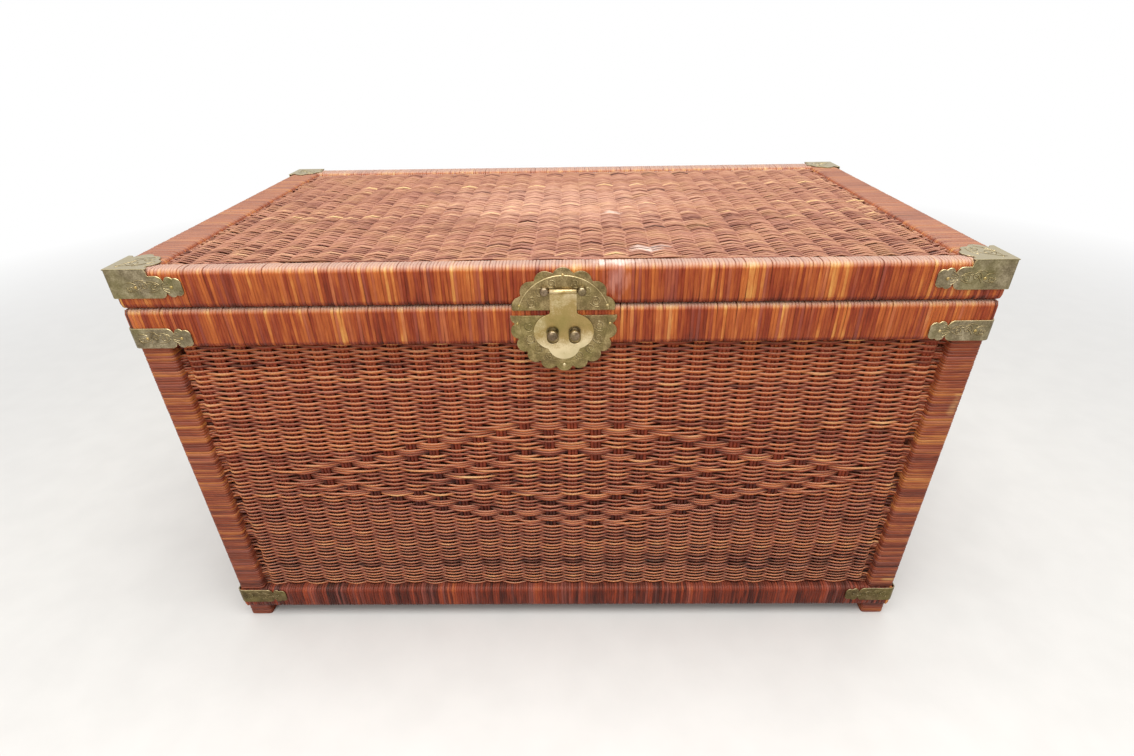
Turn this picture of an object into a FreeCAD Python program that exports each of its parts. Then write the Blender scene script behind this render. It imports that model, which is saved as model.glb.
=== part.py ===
import FreeCAD, Part
import os
import re
from FreeCAD import Placement, Rotation, Vector

# Woven rattan storage chest: a cane-wrapped frame, five woven panels and brass hardware.
# X runs along the chest, the front faces -Y, Z is up and 0 is the floor under the feet.
# The origin is under the middle of the chest's overall box.

DRIVING_SIZES = (
    # The chest as a whole
    ("chest_length", 915.0, "length over the rails"),
    ("chest_depth", 504.0, "depth over the rails"),
    ("foot_height", 18.0, "foot below the bottom rails"),
    ("bottom_rail_height", 36.0, "height of the bottom rails"),
    ("panel_height", 380.0, "woven wall between the rails"),
    ("rim_rail_height", 45.5, "height of the rim rails"),
    ("seam_gap", 0.4, "gap between rim and lid"),
    ("lid_height", 43.6, "height of the lid rails"),
    # Base frame
    ("rail_depth", 26.0, "thickness of the base rails"),
    ("rail_round", 6.0, "rounding of the base rails"),
    ("post_width", 34.5, "corner post across"),
    ("post_setback", 2.0, "post behind the rail's face"),
    ("post_bevel", 3.5, "bevel of the posts' edges"),
    ("foot_width", 31.0, "foot across"),
    ("foot_setback", 3.0, "foot behind the rail's face"),
    ("foot_bevel", 3.0, "bevel of the feet's edges"),
    ("floor_thickness", 6.0, "floor board"),
    ("floor_inset", 8.0, "floor board above the bottom rails' underside"),
    # Woven walls
    ("wall_setback", 6.0, "weave crest behind the rail's face"),
    ("wall_thickness", 14.0, "weave from crest to crest"),
    ("wall_stake_pitch", 28.3, "stake to stake in the walls"),
    ("wall_crest", 2.0, "height of one crest in the walls"),
    ("wall_edge", 9.0, "flat selvedge beside the posts"),
    # Lid
    ("lid_rail_width", 22.0, "thickness of the lid rails"),
    ("lid_round", 5.0, "rounding of the lid rails"),
    ("side_band_width", 45.0, "wrapped band over each side of the lid"),
    ("back_band_width", 32.0, "wrapped band over the back of the lid"),
    ("band_thickness", 12.0, "thickness of the wrapped bands"),
    ("lid_weave_setback", 0.8, "weave crest below the lid's top"),
    ("lid_weave_thickness", 11.0, "lid weave from crest to crest"),
    ("lid_stake_pitch", 30.8, "stake to stake in the lid"),
    ("lid_crest", 1.9, "height of one crest in the lid"),
    ("lid_edge", 4.0, "flat selvedge of the lid weave"),
    # Corner brasses
    ("brass_thickness", 1.2, "sheet of the corner brasses and lock plates"),
    ("cap_leaf_body", 57.0, "cap leaf from the corner to its neck"),
    ("cap_leaf_height", 24.5, "height of the cap's leaves"),
    ("cap_leaf_drop", 6.4, "cap leaf's top edge below the lid's top"),
    ("cap_web_length", 43.0, "folded part of the cap along each edge"),
    ("cap_top_centre", 14.0, "centre of the cap's round top leaf"),
    ("cap_top_radius", 34.0, "radius of the cap's round top leaf"),
    ("strap_leaf_body", 48.0, "strap leaf from the corner to its neck"),
    ("strap_leaf_height", 23.6, "height of the straps"),
    ("rim_strap_drop", 21.2, "rim strap's top edge below the seam"),
    ("base_strap_drop", 0.0, "base strap's top edge below the bottom rail's top"),
    ("fold_half_angle", 22.5, "half of the turn at each bend of a folded strap"),
    ("leaf_shoulder", 7.0, "rounding of a leaf's shoulders"),
    ("leaf_neck_height", 13.0, "height of a leaf's neck"),
    ("finial_lobe", 5.6, "radius of a finial's lobes"),
    ("finial_spread", 6.2, "side lobes above and below the middle"),
    ("finial_start", 7.0, "side lobes beyond the leaf's body"),
    ("finial_tip", 13.6, "tip lobe beyond the leaf's body"),
    # Nails
    ("nail_radius", 1.9, "radius of a nail head"),
    ("nail_height", 0.9, "height of a nail head"),
    ("leaf_nail_inset", 30.0, "nail in a leaf's body before its neck"),
    ("plate_nail_inset", 8.0, "nails inside the lock plates' lobes"),
    # Lock
    ("lock_offset", 7.2, "lock to the right of the chest's middle"),
    ("hasp_plate_radius", 56.0, "lid plate over its lobes"),
    ("hasp_plate_drop", 58.1, "centre of the lid plate below the lid's top"),
    ("hasp_plate_edge", 48.6, "straight edge of the lid plate below the lid's top"),
    ("hasp_plate_lobes", 15, "lobes in a full turn of the lid plate"),
    ("hasp_plate_lobe", 11.2, "radius of the lid plate's lobes"),
    ("lock_plate_radius", 56.7, "base plate over its lobes"),
    ("lock_plate_drop", 63.7, "centre of the base plate below the lid's top"),
    ("lock_plate_edge", 54.4, "straight edge of the base plate below the lid's top"),
    ("lock_plate_lobes", 18, "lobes in a full turn of the base plate"),
    ("lock_plate_lobe", 9.4, "radius of the base plate's lobes"),
    ("hasp_pin_drop", 26.5, "hasp pin below the lid's top"),
    ("hasp_pin_radius", 1.45, "hasp pin"),
    ("barrel_radius", 2.6, "rolled barrel of the flap"),
    ("barrel_length", 28.0, "rolled barrel and neck of the flap"),
    ("flap_thickness", 1.4, "sheet of the flap"),
    ("flap_gap", 0.8, "flap clear of the plates"),
    ("eye_post_spread", 19.25, "each eye post from the lock's middle"),
    ("eye_post_radius", 4.5, "eye post"),
    ("eye_post_cover", 3.6, "eye post beyond the pin's axis"),
    ("eye_post_bevel", 1.6, "bevel of an eye post's head"),
    ("flap_lobe_radius", 20.5, "side lobes of the flap"),
    ("flap_lobe_spread", 11.25, "side lobes from the flap's middle"),
    ("flap_lobe_drop", 46.0, "side lobes below the pin"),
    ("flap_tongue_radius", 17.5, "tongue of the flap"),
    ("flap_tongue_drop", 60.8, "tongue below the pin"),
    ("slot_spread", 11.65, "each slot from the flap's middle"),
    ("slot_radius", 6.4, "half width of a slot"),
    ("slot_rise", 38.9, "top of a slot below the pin"),
    ("slot_length", 21.0, "slot from end to end"),
    ("lock_post_radius", 5.5, "lock post"),
    ("lock_post_drop", 46.7, "lock post below the pin"),
    ("lock_post_reach", 10.0, "lock post beyond the flap"),
    ("lock_post_bevel", 1.6, "bevel of a lock post's end"),
    ("lock_bore_radius", 2.5, "shackle hole through the lock posts"),
    ("lock_bore_reach", 5.2, "shackle hole beyond the flap"),
    # Hinges
    ("hinge_spread", 270.0, "each hinge from the chest's middle"),
    ("hinge_width", 54.0, "hinge along the seam"),
    ("hinge_leaf_height", 27.0, "straight part of a hinge leaf"),
    ("hinge_sheet", 1.5, "sheet of a hinge leaf"),
    ("knuckle_radius", 3.5, "hinge knuckle"),
    ("hinge_pin_radius", 1.75, "hinge pin"),
    ("pin_end", 1.2, "hinge pin beyond its knuckles at each end"),
    ("knuckle_gap", 0.4, "gap between knuckles"),
    ("fit_clearance", 0.05, "pins in their bores"),
    # Handles
    ("handle_spread", 50.0, "each handle post from the side's middle"),
    ("handle_lug_half", 5.0, "half thickness of a handle post's lug"),
    ("handle_lug_radius", 6.0, "rounding of the lug round its bore"),
    ("handle_rose_radius", 13.0, "round rose under a handle post"),
    ("handle_rose_height", 1.6, "thickness of a rose"),
    ("handle_axis_reach", 12.5, "bail's axis out of the rail"),
    ("handle_gap", 0.5, "bail clear of its posts"),
    ("bail_rod_radius", 3.8, "rod of the bail"),
    ("bail_grip_radius", 5.4, "grip of the bail"),
    ("bail_grip_length", 66.0, "grip of the bail along the side"),
    ("bail_eye_radius", 5.2, "eye at the top of each bail arm"),
    ("bail_drop", 44.0, "grip below the bail's axis"),
    ("bail_bend", 13.0, "bend of the bail's corners"),
    ("bail_pivot_radius", 2.6, "pivot ends of the bail"),
    # Lid stays
    ("stay_arm", 150.0, "stay pivot and stud from the lid's hinge axis"),
    ("stay_rest_angle", 8.0, "pivot above and stud below the seam, seen from the hinge"),
    ("stay_open_angle", 100.0, "lid angle at which the stays stop it"),
    ("stay_inset", 29.0, "stay's outer face inside the chest's side"),
    ("stay_thickness", 2.5, "stay strip"),
    ("stay_half_width", 9.0, "half width of a stay"),
    ("stay_stud_radius", 3.0, "stud in the stay's slot"),
    ("stay_slot_gap", 0.35, "slot clear of the stud"),
    ("stay_collar_radius", 6.0, "collars and heads on the stay's studs"),
    ("stay_side_gap", 0.3, "collars and heads clear of the stay"),
    ("stay_head_height", 1.6, "heads of the stay's studs"),
    # Cuts
    ("cut_overrun", 1.0, "how far a cut runs past the faces that it opens"),
)
# Small round pieces are drawn with flat sides: few where they repeat, more where they are large.
FEW_SIDES, SOME_SIDES, MANY_SIDES = 6, 12, 24

document = FreeCAD.newDocument("woven_chest")
sheet = document.addObject("Spreadsheet::Sheet", "Sizes")
for row, (alias, size, meaning) in enumerate(DRIVING_SIZES, start=1):
    sheet.set(f"A{row}", alias)
    sheet.set(f"B{row}", str(size))
    sheet.set(f"C{row}", meaning)
    sheet.setAlias(f"B{row}", alias)
document.recompute()

ALIASES = {alias for alias, _, _ in DRIVING_SIZES}
ALONG_X, ALONG_Y, ALONG_Z = Vector(1, 0, 0), Vector(0, 1, 0), Vector(0, 0, 1)
TURNS = {"x": (ALONG_Y, 90), "y": (ALONG_X, -90), "z": (ALONG_Z, 0)}
OUTWARD = {"front": -ALONG_Y, "back": ALONG_Y, "left": -ALONG_X, "right": ALONG_X}
nodes = []


def formula(text):
    """Point each size named in a formula at its cell."""
    return re.sub(r"[a-z_]+", lambda word: "Sizes." + word[0] if word[0] in ALIASES else word[0], str(text))


def amount(text):
    """The present value of a formula."""
    return float(sheet.evalExpression(formula(text)))


def tie(thing, **sizes):
    """Bind properties of a document object to formulas."""
    for name, text in sizes.items():
        thing.setExpression(name, formula(text))


def place(thing, x="0", y="0", z="0", axis=ALONG_Z, angle=0):
    """Put a document object somewhere, turned about an axis, with its place bound to formulas."""
    thing.Placement = Placement(Vector(0, 0, 0), Rotation(axis, angle))
    for name, text in (("x", x), ("y", y), ("z", z)):
        thing.setExpression(f"Placement.Base.{name}", formula(text))
    return thing


def node(thing, label):
    """Name a finished sub-part and keep it for export."""
    thing.Label = label
    nodes.append(thing)
    return thing


def block(length, width, height, x="0", y="0", z="0"):
    thing = document.addObject("Part::Box", "block")
    tie(thing, Length=length, Width=width, Height=height)
    return place(thing, x, y, z)


def rod(radius, length, x="0", y="0", z="0", along="z"):
    """A cylinder along +X, +Y or +Z from the given point."""
    thing = document.addObject("Part::Cylinder", "rod")
    tie(thing, Radius=radius, Height=length)
    return place(thing, x, y, z, *TURNS[along])


def disc(radius, height, x="0", y="0", z="0", along="z", sides=SOME_SIDES):
    """A round piece drawn with flat sides."""
    thing = document.addObject("Part::Prism", "disc")
    thing.Polygon = sides
    tie(thing, Circumradius=radius, Height=height)
    return place(thing, x, y, z, *TURNS[along])


def joined(parts):
    thing = document.addObject("Part::MultiFuse", "joined")
    thing.Shapes = parts
    thing.Refine = True
    return thing


def without(base, tool):
    thing = document.addObject("Part::Cut", "cut")
    thing.Base = base
    thing.Tool = tool
    thing.Refine = True
    return thing


def shared(first, second):
    thing = document.addObject("Part::Common", "shared")
    thing.Base = first
    thing.Tool = second
    return thing


def group(parts):
    """Separate solids kept as one sub-part."""
    thing = document.addObject("Part::Compound", "group")
    thing.Links = parts
    return thing


# Levels and faces of the chest, from the sizes
HINGE_REACH = "(2 * knuckle_radius)"
FLAP_FACE = "(brass_thickness + flap_gap + flap_thickness)"
LOCK_REACH = f"({FLAP_FACE} + lock_post_reach)"
MIDDLE_Y = f"(({LOCK_REACH} - {HINGE_REACH}) / 2)"
FRONT = f"({MIDDLE_Y} - chest_depth / 2)"
BACK = f"({MIDDLE_Y} + chest_depth / 2)"
LEFT = "(-chest_length / 2)"
RIGHT = "(chest_length / 2)"
BOTTOM = "(foot_height)"
WALL_FOOT = "(foot_height + bottom_rail_height)"
WALL_TOP = "(foot_height + bottom_rail_height + panel_height)"
RIM_TOP = f"({WALL_TOP} + rim_rail_height)"
SEAM = f"({RIM_TOP} + seam_gap / 2)"
LID_FOOT = f"({RIM_TOP} + seam_gap)"
LID_TOP = f"({LID_FOOT} + lid_height)"
SIDES = (("left", -1), ("right", 1))


def edges_on(shape, side, direction=None):
    """Names of the edges on the side that a vector points to, if asked only those along a direction."""
    reach = max(point.Point.dot(side) for point in shape.Vertexes)
    found = []
    for number, edge in enumerate(shape.Edges, start=1):
        first, last = (corner.Point for corner in edge.Vertexes)
        line = last - first
        outer = min(first.dot(side), last.dot(side)) > reach - line.Length * 1e-6
        if outer and (direction is None or abs(line.dot(direction)) > line.Length / 2):
            found.append(f"Edge{number}")
    return found


def rail(label, sizes, radius, side, corner, end_round=False, band=None):
    """A rail whose long outer edges are rounded, and its upright outer edges too if asked.

    band adds the thinner board that the wrapping carries in over the lid's weave.
    """
    body = document.addObject("PartDesign::Body", label)
    bar = body.newObject("PartDesign::AdditiveBox", "bar")
    tie(bar, Length=sizes[0], Width=sizes[1], Height=sizes[2])
    document.recompute()
    along = ALONG_X if side in ("front", "back") else ALONG_Y
    names = edges_on(bar.Shape, OUTWARD[side], None if end_round else along)
    rounding = body.newObject("PartDesign::Fillet", "rounding")
    rounding.Base = (bar, names)
    tie(rounding, Radius=radius)
    if band:
        board = body.newObject("PartDesign::AdditiveBox", "band")
        tie(board, Length=band["length"], Width=band["width"], Height="band_thickness")
        place(board, band["x"], band["y"], "lid_height - band_thickness")
    document.recompute()
    place(body, *corner)
    return node(body, label)


# Base frame: rails, posts, feet and floor
def base_rails(name, foot, height):
    side_length = "chest_depth - 2 * rail_depth"
    inside = f"{FRONT} + rail_depth"
    long_sizes = ("chest_length", "rail_depth", height)
    short_sizes = ("rail_depth", side_length, height)
    rail(f"{name}_rail_front", long_sizes, "rail_round", "front", (LEFT, FRONT, foot), end_round=True)
    rail(f"{name}_rail_back", long_sizes, "rail_round", "back", (LEFT, f"{BACK} - rail_depth", foot),
         end_round=True)
    rail(f"{name}_rail_left", short_sizes, "rail_round", "left", (LEFT, inside, foot))
    rail(f"{name}_rail_right", short_sizes, "rail_round", "right",
         (f"{RIGHT} - rail_depth", inside, foot))


base_rails("bottom", BOTTOM, "bottom_rail_height")
base_rails("rim", WALL_TOP, "rim_rail_height")


def corner_pillars(name, width, setback, bevel, foot, height):
    """Four like pillars with bevelled edges, one in each corner of the frame."""
    for end, y in (("front", f"{FRONT} + {setback}"), ("back", f"{BACK} - {setback} - {width}")):
        for side, x in (("left", f"{LEFT} + {setback}"), ("right", f"{RIGHT} - {setback} - {width}")):
            body = document.addObject("PartDesign::Body", name)
            pillar = body.newObject("PartDesign::AdditiveBox", "pillar")
            tie(pillar, Length=width, Width=width, Height=height)
            document.recompute()
            bevels = body.newObject("PartDesign::Chamfer", "bevels")
            bevels.Base = (pillar, [name for way in ("front", "back")
                                    for name in edges_on(pillar.Shape, OUTWARD[way], ALONG_Z)])
            tie(bevels, Size=bevel)
            document.recompute()
            node(place(body, x, y, foot), f"{name}_{end}_{side}")


corner_pillars("corner_post", "post_width", "post_setback", "post_bevel", WALL_FOOT, "panel_height")
corner_pillars("foot", "foot_width", "foot_setback", "foot_bevel", "0", "foot_height")

floor = block("chest_length - 2 * rail_depth", "chest_depth - 2 * rail_depth", "floor_thickness",
              f"{LEFT} + rail_depth", f"{FRONT} + rail_depth", f"{BOTTOM} + floor_inset")
node(floor, "floor_board")


# Part of the pitch that each flank of a stake's crest takes
FLANK_SHARE = 0.28


def weave_face(width, thickness, pitch, crest, edge):
    """Section of a woven panel: one flat crest per stake on its outer face, plain at its edges."""
    count = max(1, round((width - 2 * edge) / pitch))
    step = (width - 2 * edge) / count
    flank = FLANK_SHARE * step
    corners = [Vector(width, crest, 0), Vector(width, thickness, 0), Vector(0, thickness, 0), Vector(0, crest, 0)]
    for start in (edge + index * step for index in range(count)):
        corners += [Vector(start, crest, 0), Vector(start + flank, 0, 0), Vector(start + step - flank, 0, 0)]
    corners.append(Vector(width - edge, crest, 0))
    return Part.Face(Part.makePolygon(corners + corners[:1]))


def woven_panel(label, width, length, thickness, pitch, crest, edge, turn, corner):
    """A woven panel: its section drawn along the stakes, then turned and put in its place."""
    section = weave_face(amount(width), amount(thickness), amount(pitch), amount(crest), amount(edge))
    panel = document.addObject("Part::Feature", label)
    panel.Shape = section.extrude(Vector(0, 0, amount(length)))
    panel.Placement = Placement(Vector(*(amount(text) for text in corner)), turn)
    return node(panel, label)


FACING = {side: Rotation(ALONG_Z, 90 * turns) for turns, side in enumerate(("front", "right", "back", "left"))}
WALL_CLEAR = "(post_setback + post_width)"
WALL_SIZES = ("panel_height", "wall_thickness", "wall_stake_pitch", "wall_crest", "wall_edge")
LONG_WALL = f"chest_length - 2 * {WALL_CLEAR}"
SHORT_WALL = f"chest_depth - 2 * {WALL_CLEAR}"

woven_panel("woven_panel_front", LONG_WALL, *WALL_SIZES, FACING["front"],
            (f"{LEFT} + {WALL_CLEAR}", f"{FRONT} + wall_setback", WALL_FOOT))
woven_panel("woven_panel_back", LONG_WALL, *WALL_SIZES, FACING["back"],
            (f"{RIGHT} - {WALL_CLEAR}", f"{BACK} - wall_setback", WALL_FOOT))
woven_panel("woven_panel_left", SHORT_WALL, *WALL_SIZES, FACING["left"],
            (f"{LEFT} + wall_setback", f"{BACK} - {WALL_CLEAR}", WALL_FOOT))
woven_panel("woven_panel_right", SHORT_WALL, *WALL_SIZES, FACING["right"],
            (f"{RIGHT} - wall_setback", f"{FRONT} + {WALL_CLEAR}", WALL_FOOT))

# Lid: four rails, of which the sides and the back carry a wrapped band, and the woven panel
LID_SIDE_LENGTH = "(chest_depth - 2 * lid_rail_width)"
LID_LONG = ("chest_length", "lid_rail_width", "lid_height")
LID_SHORT = ("lid_rail_width", LID_SIDE_LENGTH, "lid_height")
LID_INSIDE = f"{FRONT} + lid_rail_width"
SIDE_BAND = "side_band_width - lid_rail_width / 2"
rail("lid_rail_front", LID_LONG, "lid_round", "front", (LEFT, FRONT, LID_FOOT))
rail("lid_rail_back", LID_LONG, "lid_round", "back", (LEFT, f"{BACK} - lid_rail_width", LID_FOOT),
     band={"length": "chest_length - 2 * side_band_width", "width": "back_band_width - lid_rail_width / 2",
           "x": "side_band_width", "y": "lid_rail_width - back_band_width"})
rail("lid_rail_left", LID_SHORT, "lid_round", "left", (LEFT, LID_INSIDE, LID_FOOT),
     band={"length": SIDE_BAND, "width": LID_SIDE_LENGTH, "x": "lid_rail_width / 2", "y": "0"})
rail("lid_rail_right", LID_SHORT, "lid_round", "right", (f"{RIGHT} - lid_rail_width", LID_INSIDE, LID_FOOT),
     band={"length": SIDE_BAND, "width": LID_SIDE_LENGTH, "x": "lid_rail_width - side_band_width", "y": "0"})

# The section lies upright on its edge, so the stakes run from front to back.
LYING = Rotation(ALONG_X, -90)
woven_panel("lid_panel", "chest_length - 2 * side_band_width", "chest_depth - lid_rail_width - back_band_width",
            "lid_weave_thickness", "lid_stake_pitch", "lid_crest", "lid_edge", LYING,
            (f"{LEFT} + side_band_width", f"{FRONT} + lid_rail_width", f"{LID_TOP} - lid_weave_setback"))


# Brass leaves of the corner caps and straps, drawn in the X-Z plane with their outer face at -Y
def brass_leaf(body, height, start="0"):
    """A strip with rounded shoulders, a neck and a three-lobed finial."""
    sheet_y, depth = "-brass_thickness", "brass_thickness"
    half = f"({height} / 2)"

    def lobe(x, z):
        return disc("finial_lobe", depth, x, sheet_y, z, along="y", sides=FEW_SIDES)

    def shoulder(z):
        return disc("leaf_shoulder", depth, f"{body} - leaf_shoulder", sheet_y, z, along="y", sides=8)

    parts = [
        block(f"{body} - leaf_shoulder - {start}", depth, height, start, sheet_y, f"-{half}"),
        block("2 * leaf_shoulder", depth, f"{height} - 2 * leaf_shoulder",
              f"{body} - 2 * leaf_shoulder", sheet_y, f"leaf_shoulder - {half}"),
        block("finial_start + leaf_shoulder", depth, "leaf_neck_height",
              f"{body} - leaf_shoulder", sheet_y, "-leaf_neck_height / 2"),
        shoulder(f"{half} - leaf_shoulder"),
        shoulder(f"leaf_shoulder - {half}"),
        lobe(f"{body} + finial_start", "finial_spread"),
        lobe(f"{body} + finial_start", "-finial_spread"),
        lobe(f"{body} + finial_tip", "0"),
    ]
    return joined(parts)


def nail(x, y, z, facing=1):
    """A nail head on a sheet's outer face: facing 1 looks to the front, -1 to the back."""
    head = document.addObject("Part::Prism", "nail")
    head.Polygon = FEW_SIDES
    tie(head, Circumradius="nail_radius", Height="nail_height")
    return place(head, x, y, z, ALONG_X, 90 * facing)


def leaf_nails(body):
    """Nail heads in one leaf: in its body and in its finial."""
    return group([nail(f"{body} - leaf_nail_inset", "-brass_thickness", "0"),
                  nail(f"{body} + finial_start", "-brass_thickness", "0")])


def both_leaves(body, height, start, z):
    """Two like leaves at a corner, one along +X and one along +Y, with their nails."""
    leaves = [place(brass_leaf(body, height, start), "0", "0", z),
              place(brass_leaf(body, height, start), "-brass_thickness", "0", z, angle=90)]
    # Half a turn about the diagonal carries the front leaf's nails to the side leaf.
    nails = [place(leaf_nails(body), "0", "0", z),
             place(leaf_nails(body), "0", "0", z, axis=Vector(1, 1, 0), angle=180)]
    return leaves, nails


def fold(inside):
    """Eight-sided bar round a corner of the frame, over the wrapping or over the brass."""
    turned = "(rail_round + brass_thickness)" if inside == "brass" else "rail_round"
    bar = disc(f"{turned} / cos(fold_half_angle)", "strap_leaf_height", "rail_round", "rail_round",
               "-strap_leaf_height / 2", sides=8)
    bar.Placement.Rotation = Rotation(ALONG_Z, amount("fold_half_angle"))
    return bar


def corner_strap():
    """A strip folded round a corner of the frame, and its nails, in the corner's own frame."""
    leaves, nails = both_leaves("strap_leaf_body", "strap_leaf_height", "rail_round", "0")
    quarter = block("rail_round + brass_thickness", "rail_round + brass_thickness", "strap_leaf_height",
                    "-brass_thickness", "-brass_thickness", "-strap_leaf_height / 2")
    leaves.append(shared(without(fold("brass"), fold("wrapping")), quarter))
    return joined(leaves), group(nails)


def corner_cap():
    """A lid corner's cap: two leaves, the folded edge above them and the round top leaf."""
    web_low = "-(cap_leaf_drop + cap_leaf_height / 2)"
    web_height = "cap_leaf_drop + brass_thickness + cap_leaf_height / 2"
    low = "-brass_thickness"
    leaves, nails = both_leaves("cap_leaf_body", "cap_leaf_height", "0", web_low)
    web_length = "cap_web_length + brass_thickness"
    leaves.append(block(web_length, "brass_thickness", web_height, low, low, web_low))
    leaves.append(block("brass_thickness", web_length, web_height, low, low, web_low))
    leaves.append(block("brass_thickness", "brass_thickness", "cap_leaf_height", low, low,
                        f"{web_low} - cap_leaf_height / 2"))
    reach = "cap_top_centre + cap_top_radius + brass_thickness"
    leaves.append(shared(disc("cap_top_radius", "brass_thickness", "cap_top_centre", "cap_top_centre", "0",
                              sides=MANY_SIDES),
                         block(reach, reach, "brass_thickness", low, low, "0")))
    return joined(leaves), group(nails)


CORNERS = (
    ("front_left", LEFT, FRONT, 0),
    ("front_right", RIGHT, FRONT, 90),
    ("back_right", RIGHT, BACK, 180),
    ("back_left", LEFT, BACK, 270),
)
base_nail_groups = []
lid_nail_groups = []
STRAP_MIDDLE = "strap_leaf_height / 2"
for name, level, nail_groups, maker in (
        ("rim_strap", f"{SEAM} - rim_strap_drop - {STRAP_MIDDLE}", base_nail_groups, corner_strap),
        ("base_strap", f"{WALL_FOOT} - base_strap_drop - {STRAP_MIDDLE}", base_nail_groups, corner_strap),
        ("lid_corner", LID_TOP, lid_nail_groups, corner_cap)):
    for corner, x, y, turn in CORNERS:
        brass, nails = maker()
        node(place(brass, x, y, level, angle=turn), f"{name}_{corner}")
        nail_groups.append(place(nails, x, y, level, angle=turn))


def scalloped_plate(label, radius, lobes, lobe, centre_drop, edge_drop, keep):
    """A round plate with a lobed rim, cut straight along the seam; keep says which part stays."""
    body = document.addObject("PartDesign::Body", "plate")
    middle = body.newObject("PartDesign::AdditivePrism", "middle")
    middle.Polygon = MANY_SIDES
    tie(middle, Circumradius=f"{radius} - {lobe}", Height="brass_thickness")
    edge = body.newObject("PartDesign::AdditivePrism", "lobe")
    edge.Polygon = SOME_SIDES
    tie(edge, Circumradius=lobe, Height="brass_thickness")
    place(edge, "0", f"{radius} - {lobe}", "0")
    document.recompute()
    ring = body.newObject("PartDesign::PolarPattern", "lobes")
    ring.Originals = [edge]
    ring.Axis = (next(item for item in body.Origin.OriginFeatures if item.Role == "Z_Axis"), [""])
    ring.Angle = 360
    tie(ring, Occurrences=lobes)
    body.Tip = ring
    document.recompute()
    place(body, "lock_offset", FRONT, f"{LID_TOP} - {centre_drop}", ALONG_X, 90)
    span = f"({radius} + cut_overrun)"
    z = f"{LID_TOP} - {edge_drop}" if keep == "below" else f"{LID_TOP} - {edge_drop} - 2 * {span}"
    half = block(f"2 * {span}", "brass_thickness + 2 * cut_overrun", f"2 * {span}",
                 f"lock_offset - {span}", f"{FRONT} - brass_thickness - cut_overrun", z)
    return node(without(body, half), label)


scalloped_plate("hasp_plate", "hasp_plate_radius", "hasp_plate_lobes", "hasp_plate_lobe",
                "hasp_plate_drop", "hasp_plate_edge", "above")
scalloped_plate("lock_plate", "lock_plate_radius", "lock_plate_lobes", "lock_plate_lobe",
                "lock_plate_drop", "lock_plate_edge", "below")

# Lock: pin, eye posts, flap and lock posts
PIN_Y = f"({FRONT} - brass_thickness - flap_gap - barrel_radius)"
PIN_Z = f"({LID_TOP} - hasp_pin_drop)"
PLATE_FACE = f"({FRONT} - brass_thickness)"


def stud(radius, length, bevel, x, z, bore_radius, bore_y):
    """A round stud out of a plate towards -Y, with a bevelled end and a hole across it along X."""
    body = document.addObject("PartDesign::Body", "stud")
    shaft = body.newObject("PartDesign::AdditivePrism", "shaft")
    shaft.Polygon = SOME_SIDES
    tie(shaft, Circumradius=radius, Height=length)
    document.recompute()
    end = body.newObject("PartDesign::Chamfer", "end")
    end.Base = (shaft, edges_on(shaft.Shape, ALONG_Z))
    tie(end, Size=bevel)
    place(body, x, PLATE_FACE, z, ALONG_X, 90)
    hole = rod(bore_radius, f"2 * ({radius} + cut_overrun)", f"{x} - {radius} - cut_overrun", bore_y, z,
               along="x")
    return without(body, hole)


PIN_BORE = "hasp_pin_radius + fit_clearance"
eye_length = f"{PLATE_FACE} - {PIN_Y} + eye_post_cover"
lock_length = "flap_gap + flap_thickness + lock_post_reach"
LOCK_BORE_Y = f"({FRONT} - {FLAP_FACE} - lock_bore_reach)"
LOCK_POST_Z = f"({PIN_Z} - lock_post_drop)"
eyes = [stud("eye_post_radius", eye_length, "eye_post_bevel", f"lock_offset + {side} * eye_post_spread",
             PIN_Z, PIN_BORE, PIN_Y) for _, side in SIDES]
node(group(eyes), "hasp_posts")
locks = [stud("lock_post_radius", lock_length, "lock_post_bevel", f"lock_offset + {side} * slot_spread",
              LOCK_POST_Z, "lock_bore_radius", LOCK_BORE_Y) for _, side in SIDES]
node(group(locks), "lock_posts")

PIN_HALF = "(eye_post_spread + eye_post_radius / 2)"
node(disc("hasp_pin_radius", f"2 * {PIN_HALF}", f"lock_offset - {PIN_HALF}", PIN_Y, PIN_Z, along="x"),
     "hasp_pin")

FLAP_BACK = f"({FRONT} - brass_thickness - flap_gap)"
FLAP_FRONT = f"({FRONT} - {FLAP_FACE})"


def flap_disc(radius, x, drop):
    return disc(radius, "flap_thickness", f"lock_offset + {x}", FLAP_FRONT, f"{PIN_Z} - {drop}", along="y",
                sides=MANY_SIDES)


def flap_slot(side):
    """A slot with round ends, through the flap and a little past both of its faces."""
    x = f"lock_offset + {side} * slot_spread"
    start, depth = f"{FLAP_FRONT} - cut_overrun", "flap_thickness + 2 * cut_overrun"
    high = f"{PIN_Z} - slot_rise - slot_radius"
    low = f"{PIN_Z} - slot_rise - slot_length + slot_radius"
    return joined([disc("slot_radius", depth, x, start, high, along="y"),
                   disc("slot_radius", depth, x, start, low, along="y"),
                   block("2 * slot_radius", depth, "slot_length - 2 * slot_radius", f"{x} - slot_radius",
                         start, low)])


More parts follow.
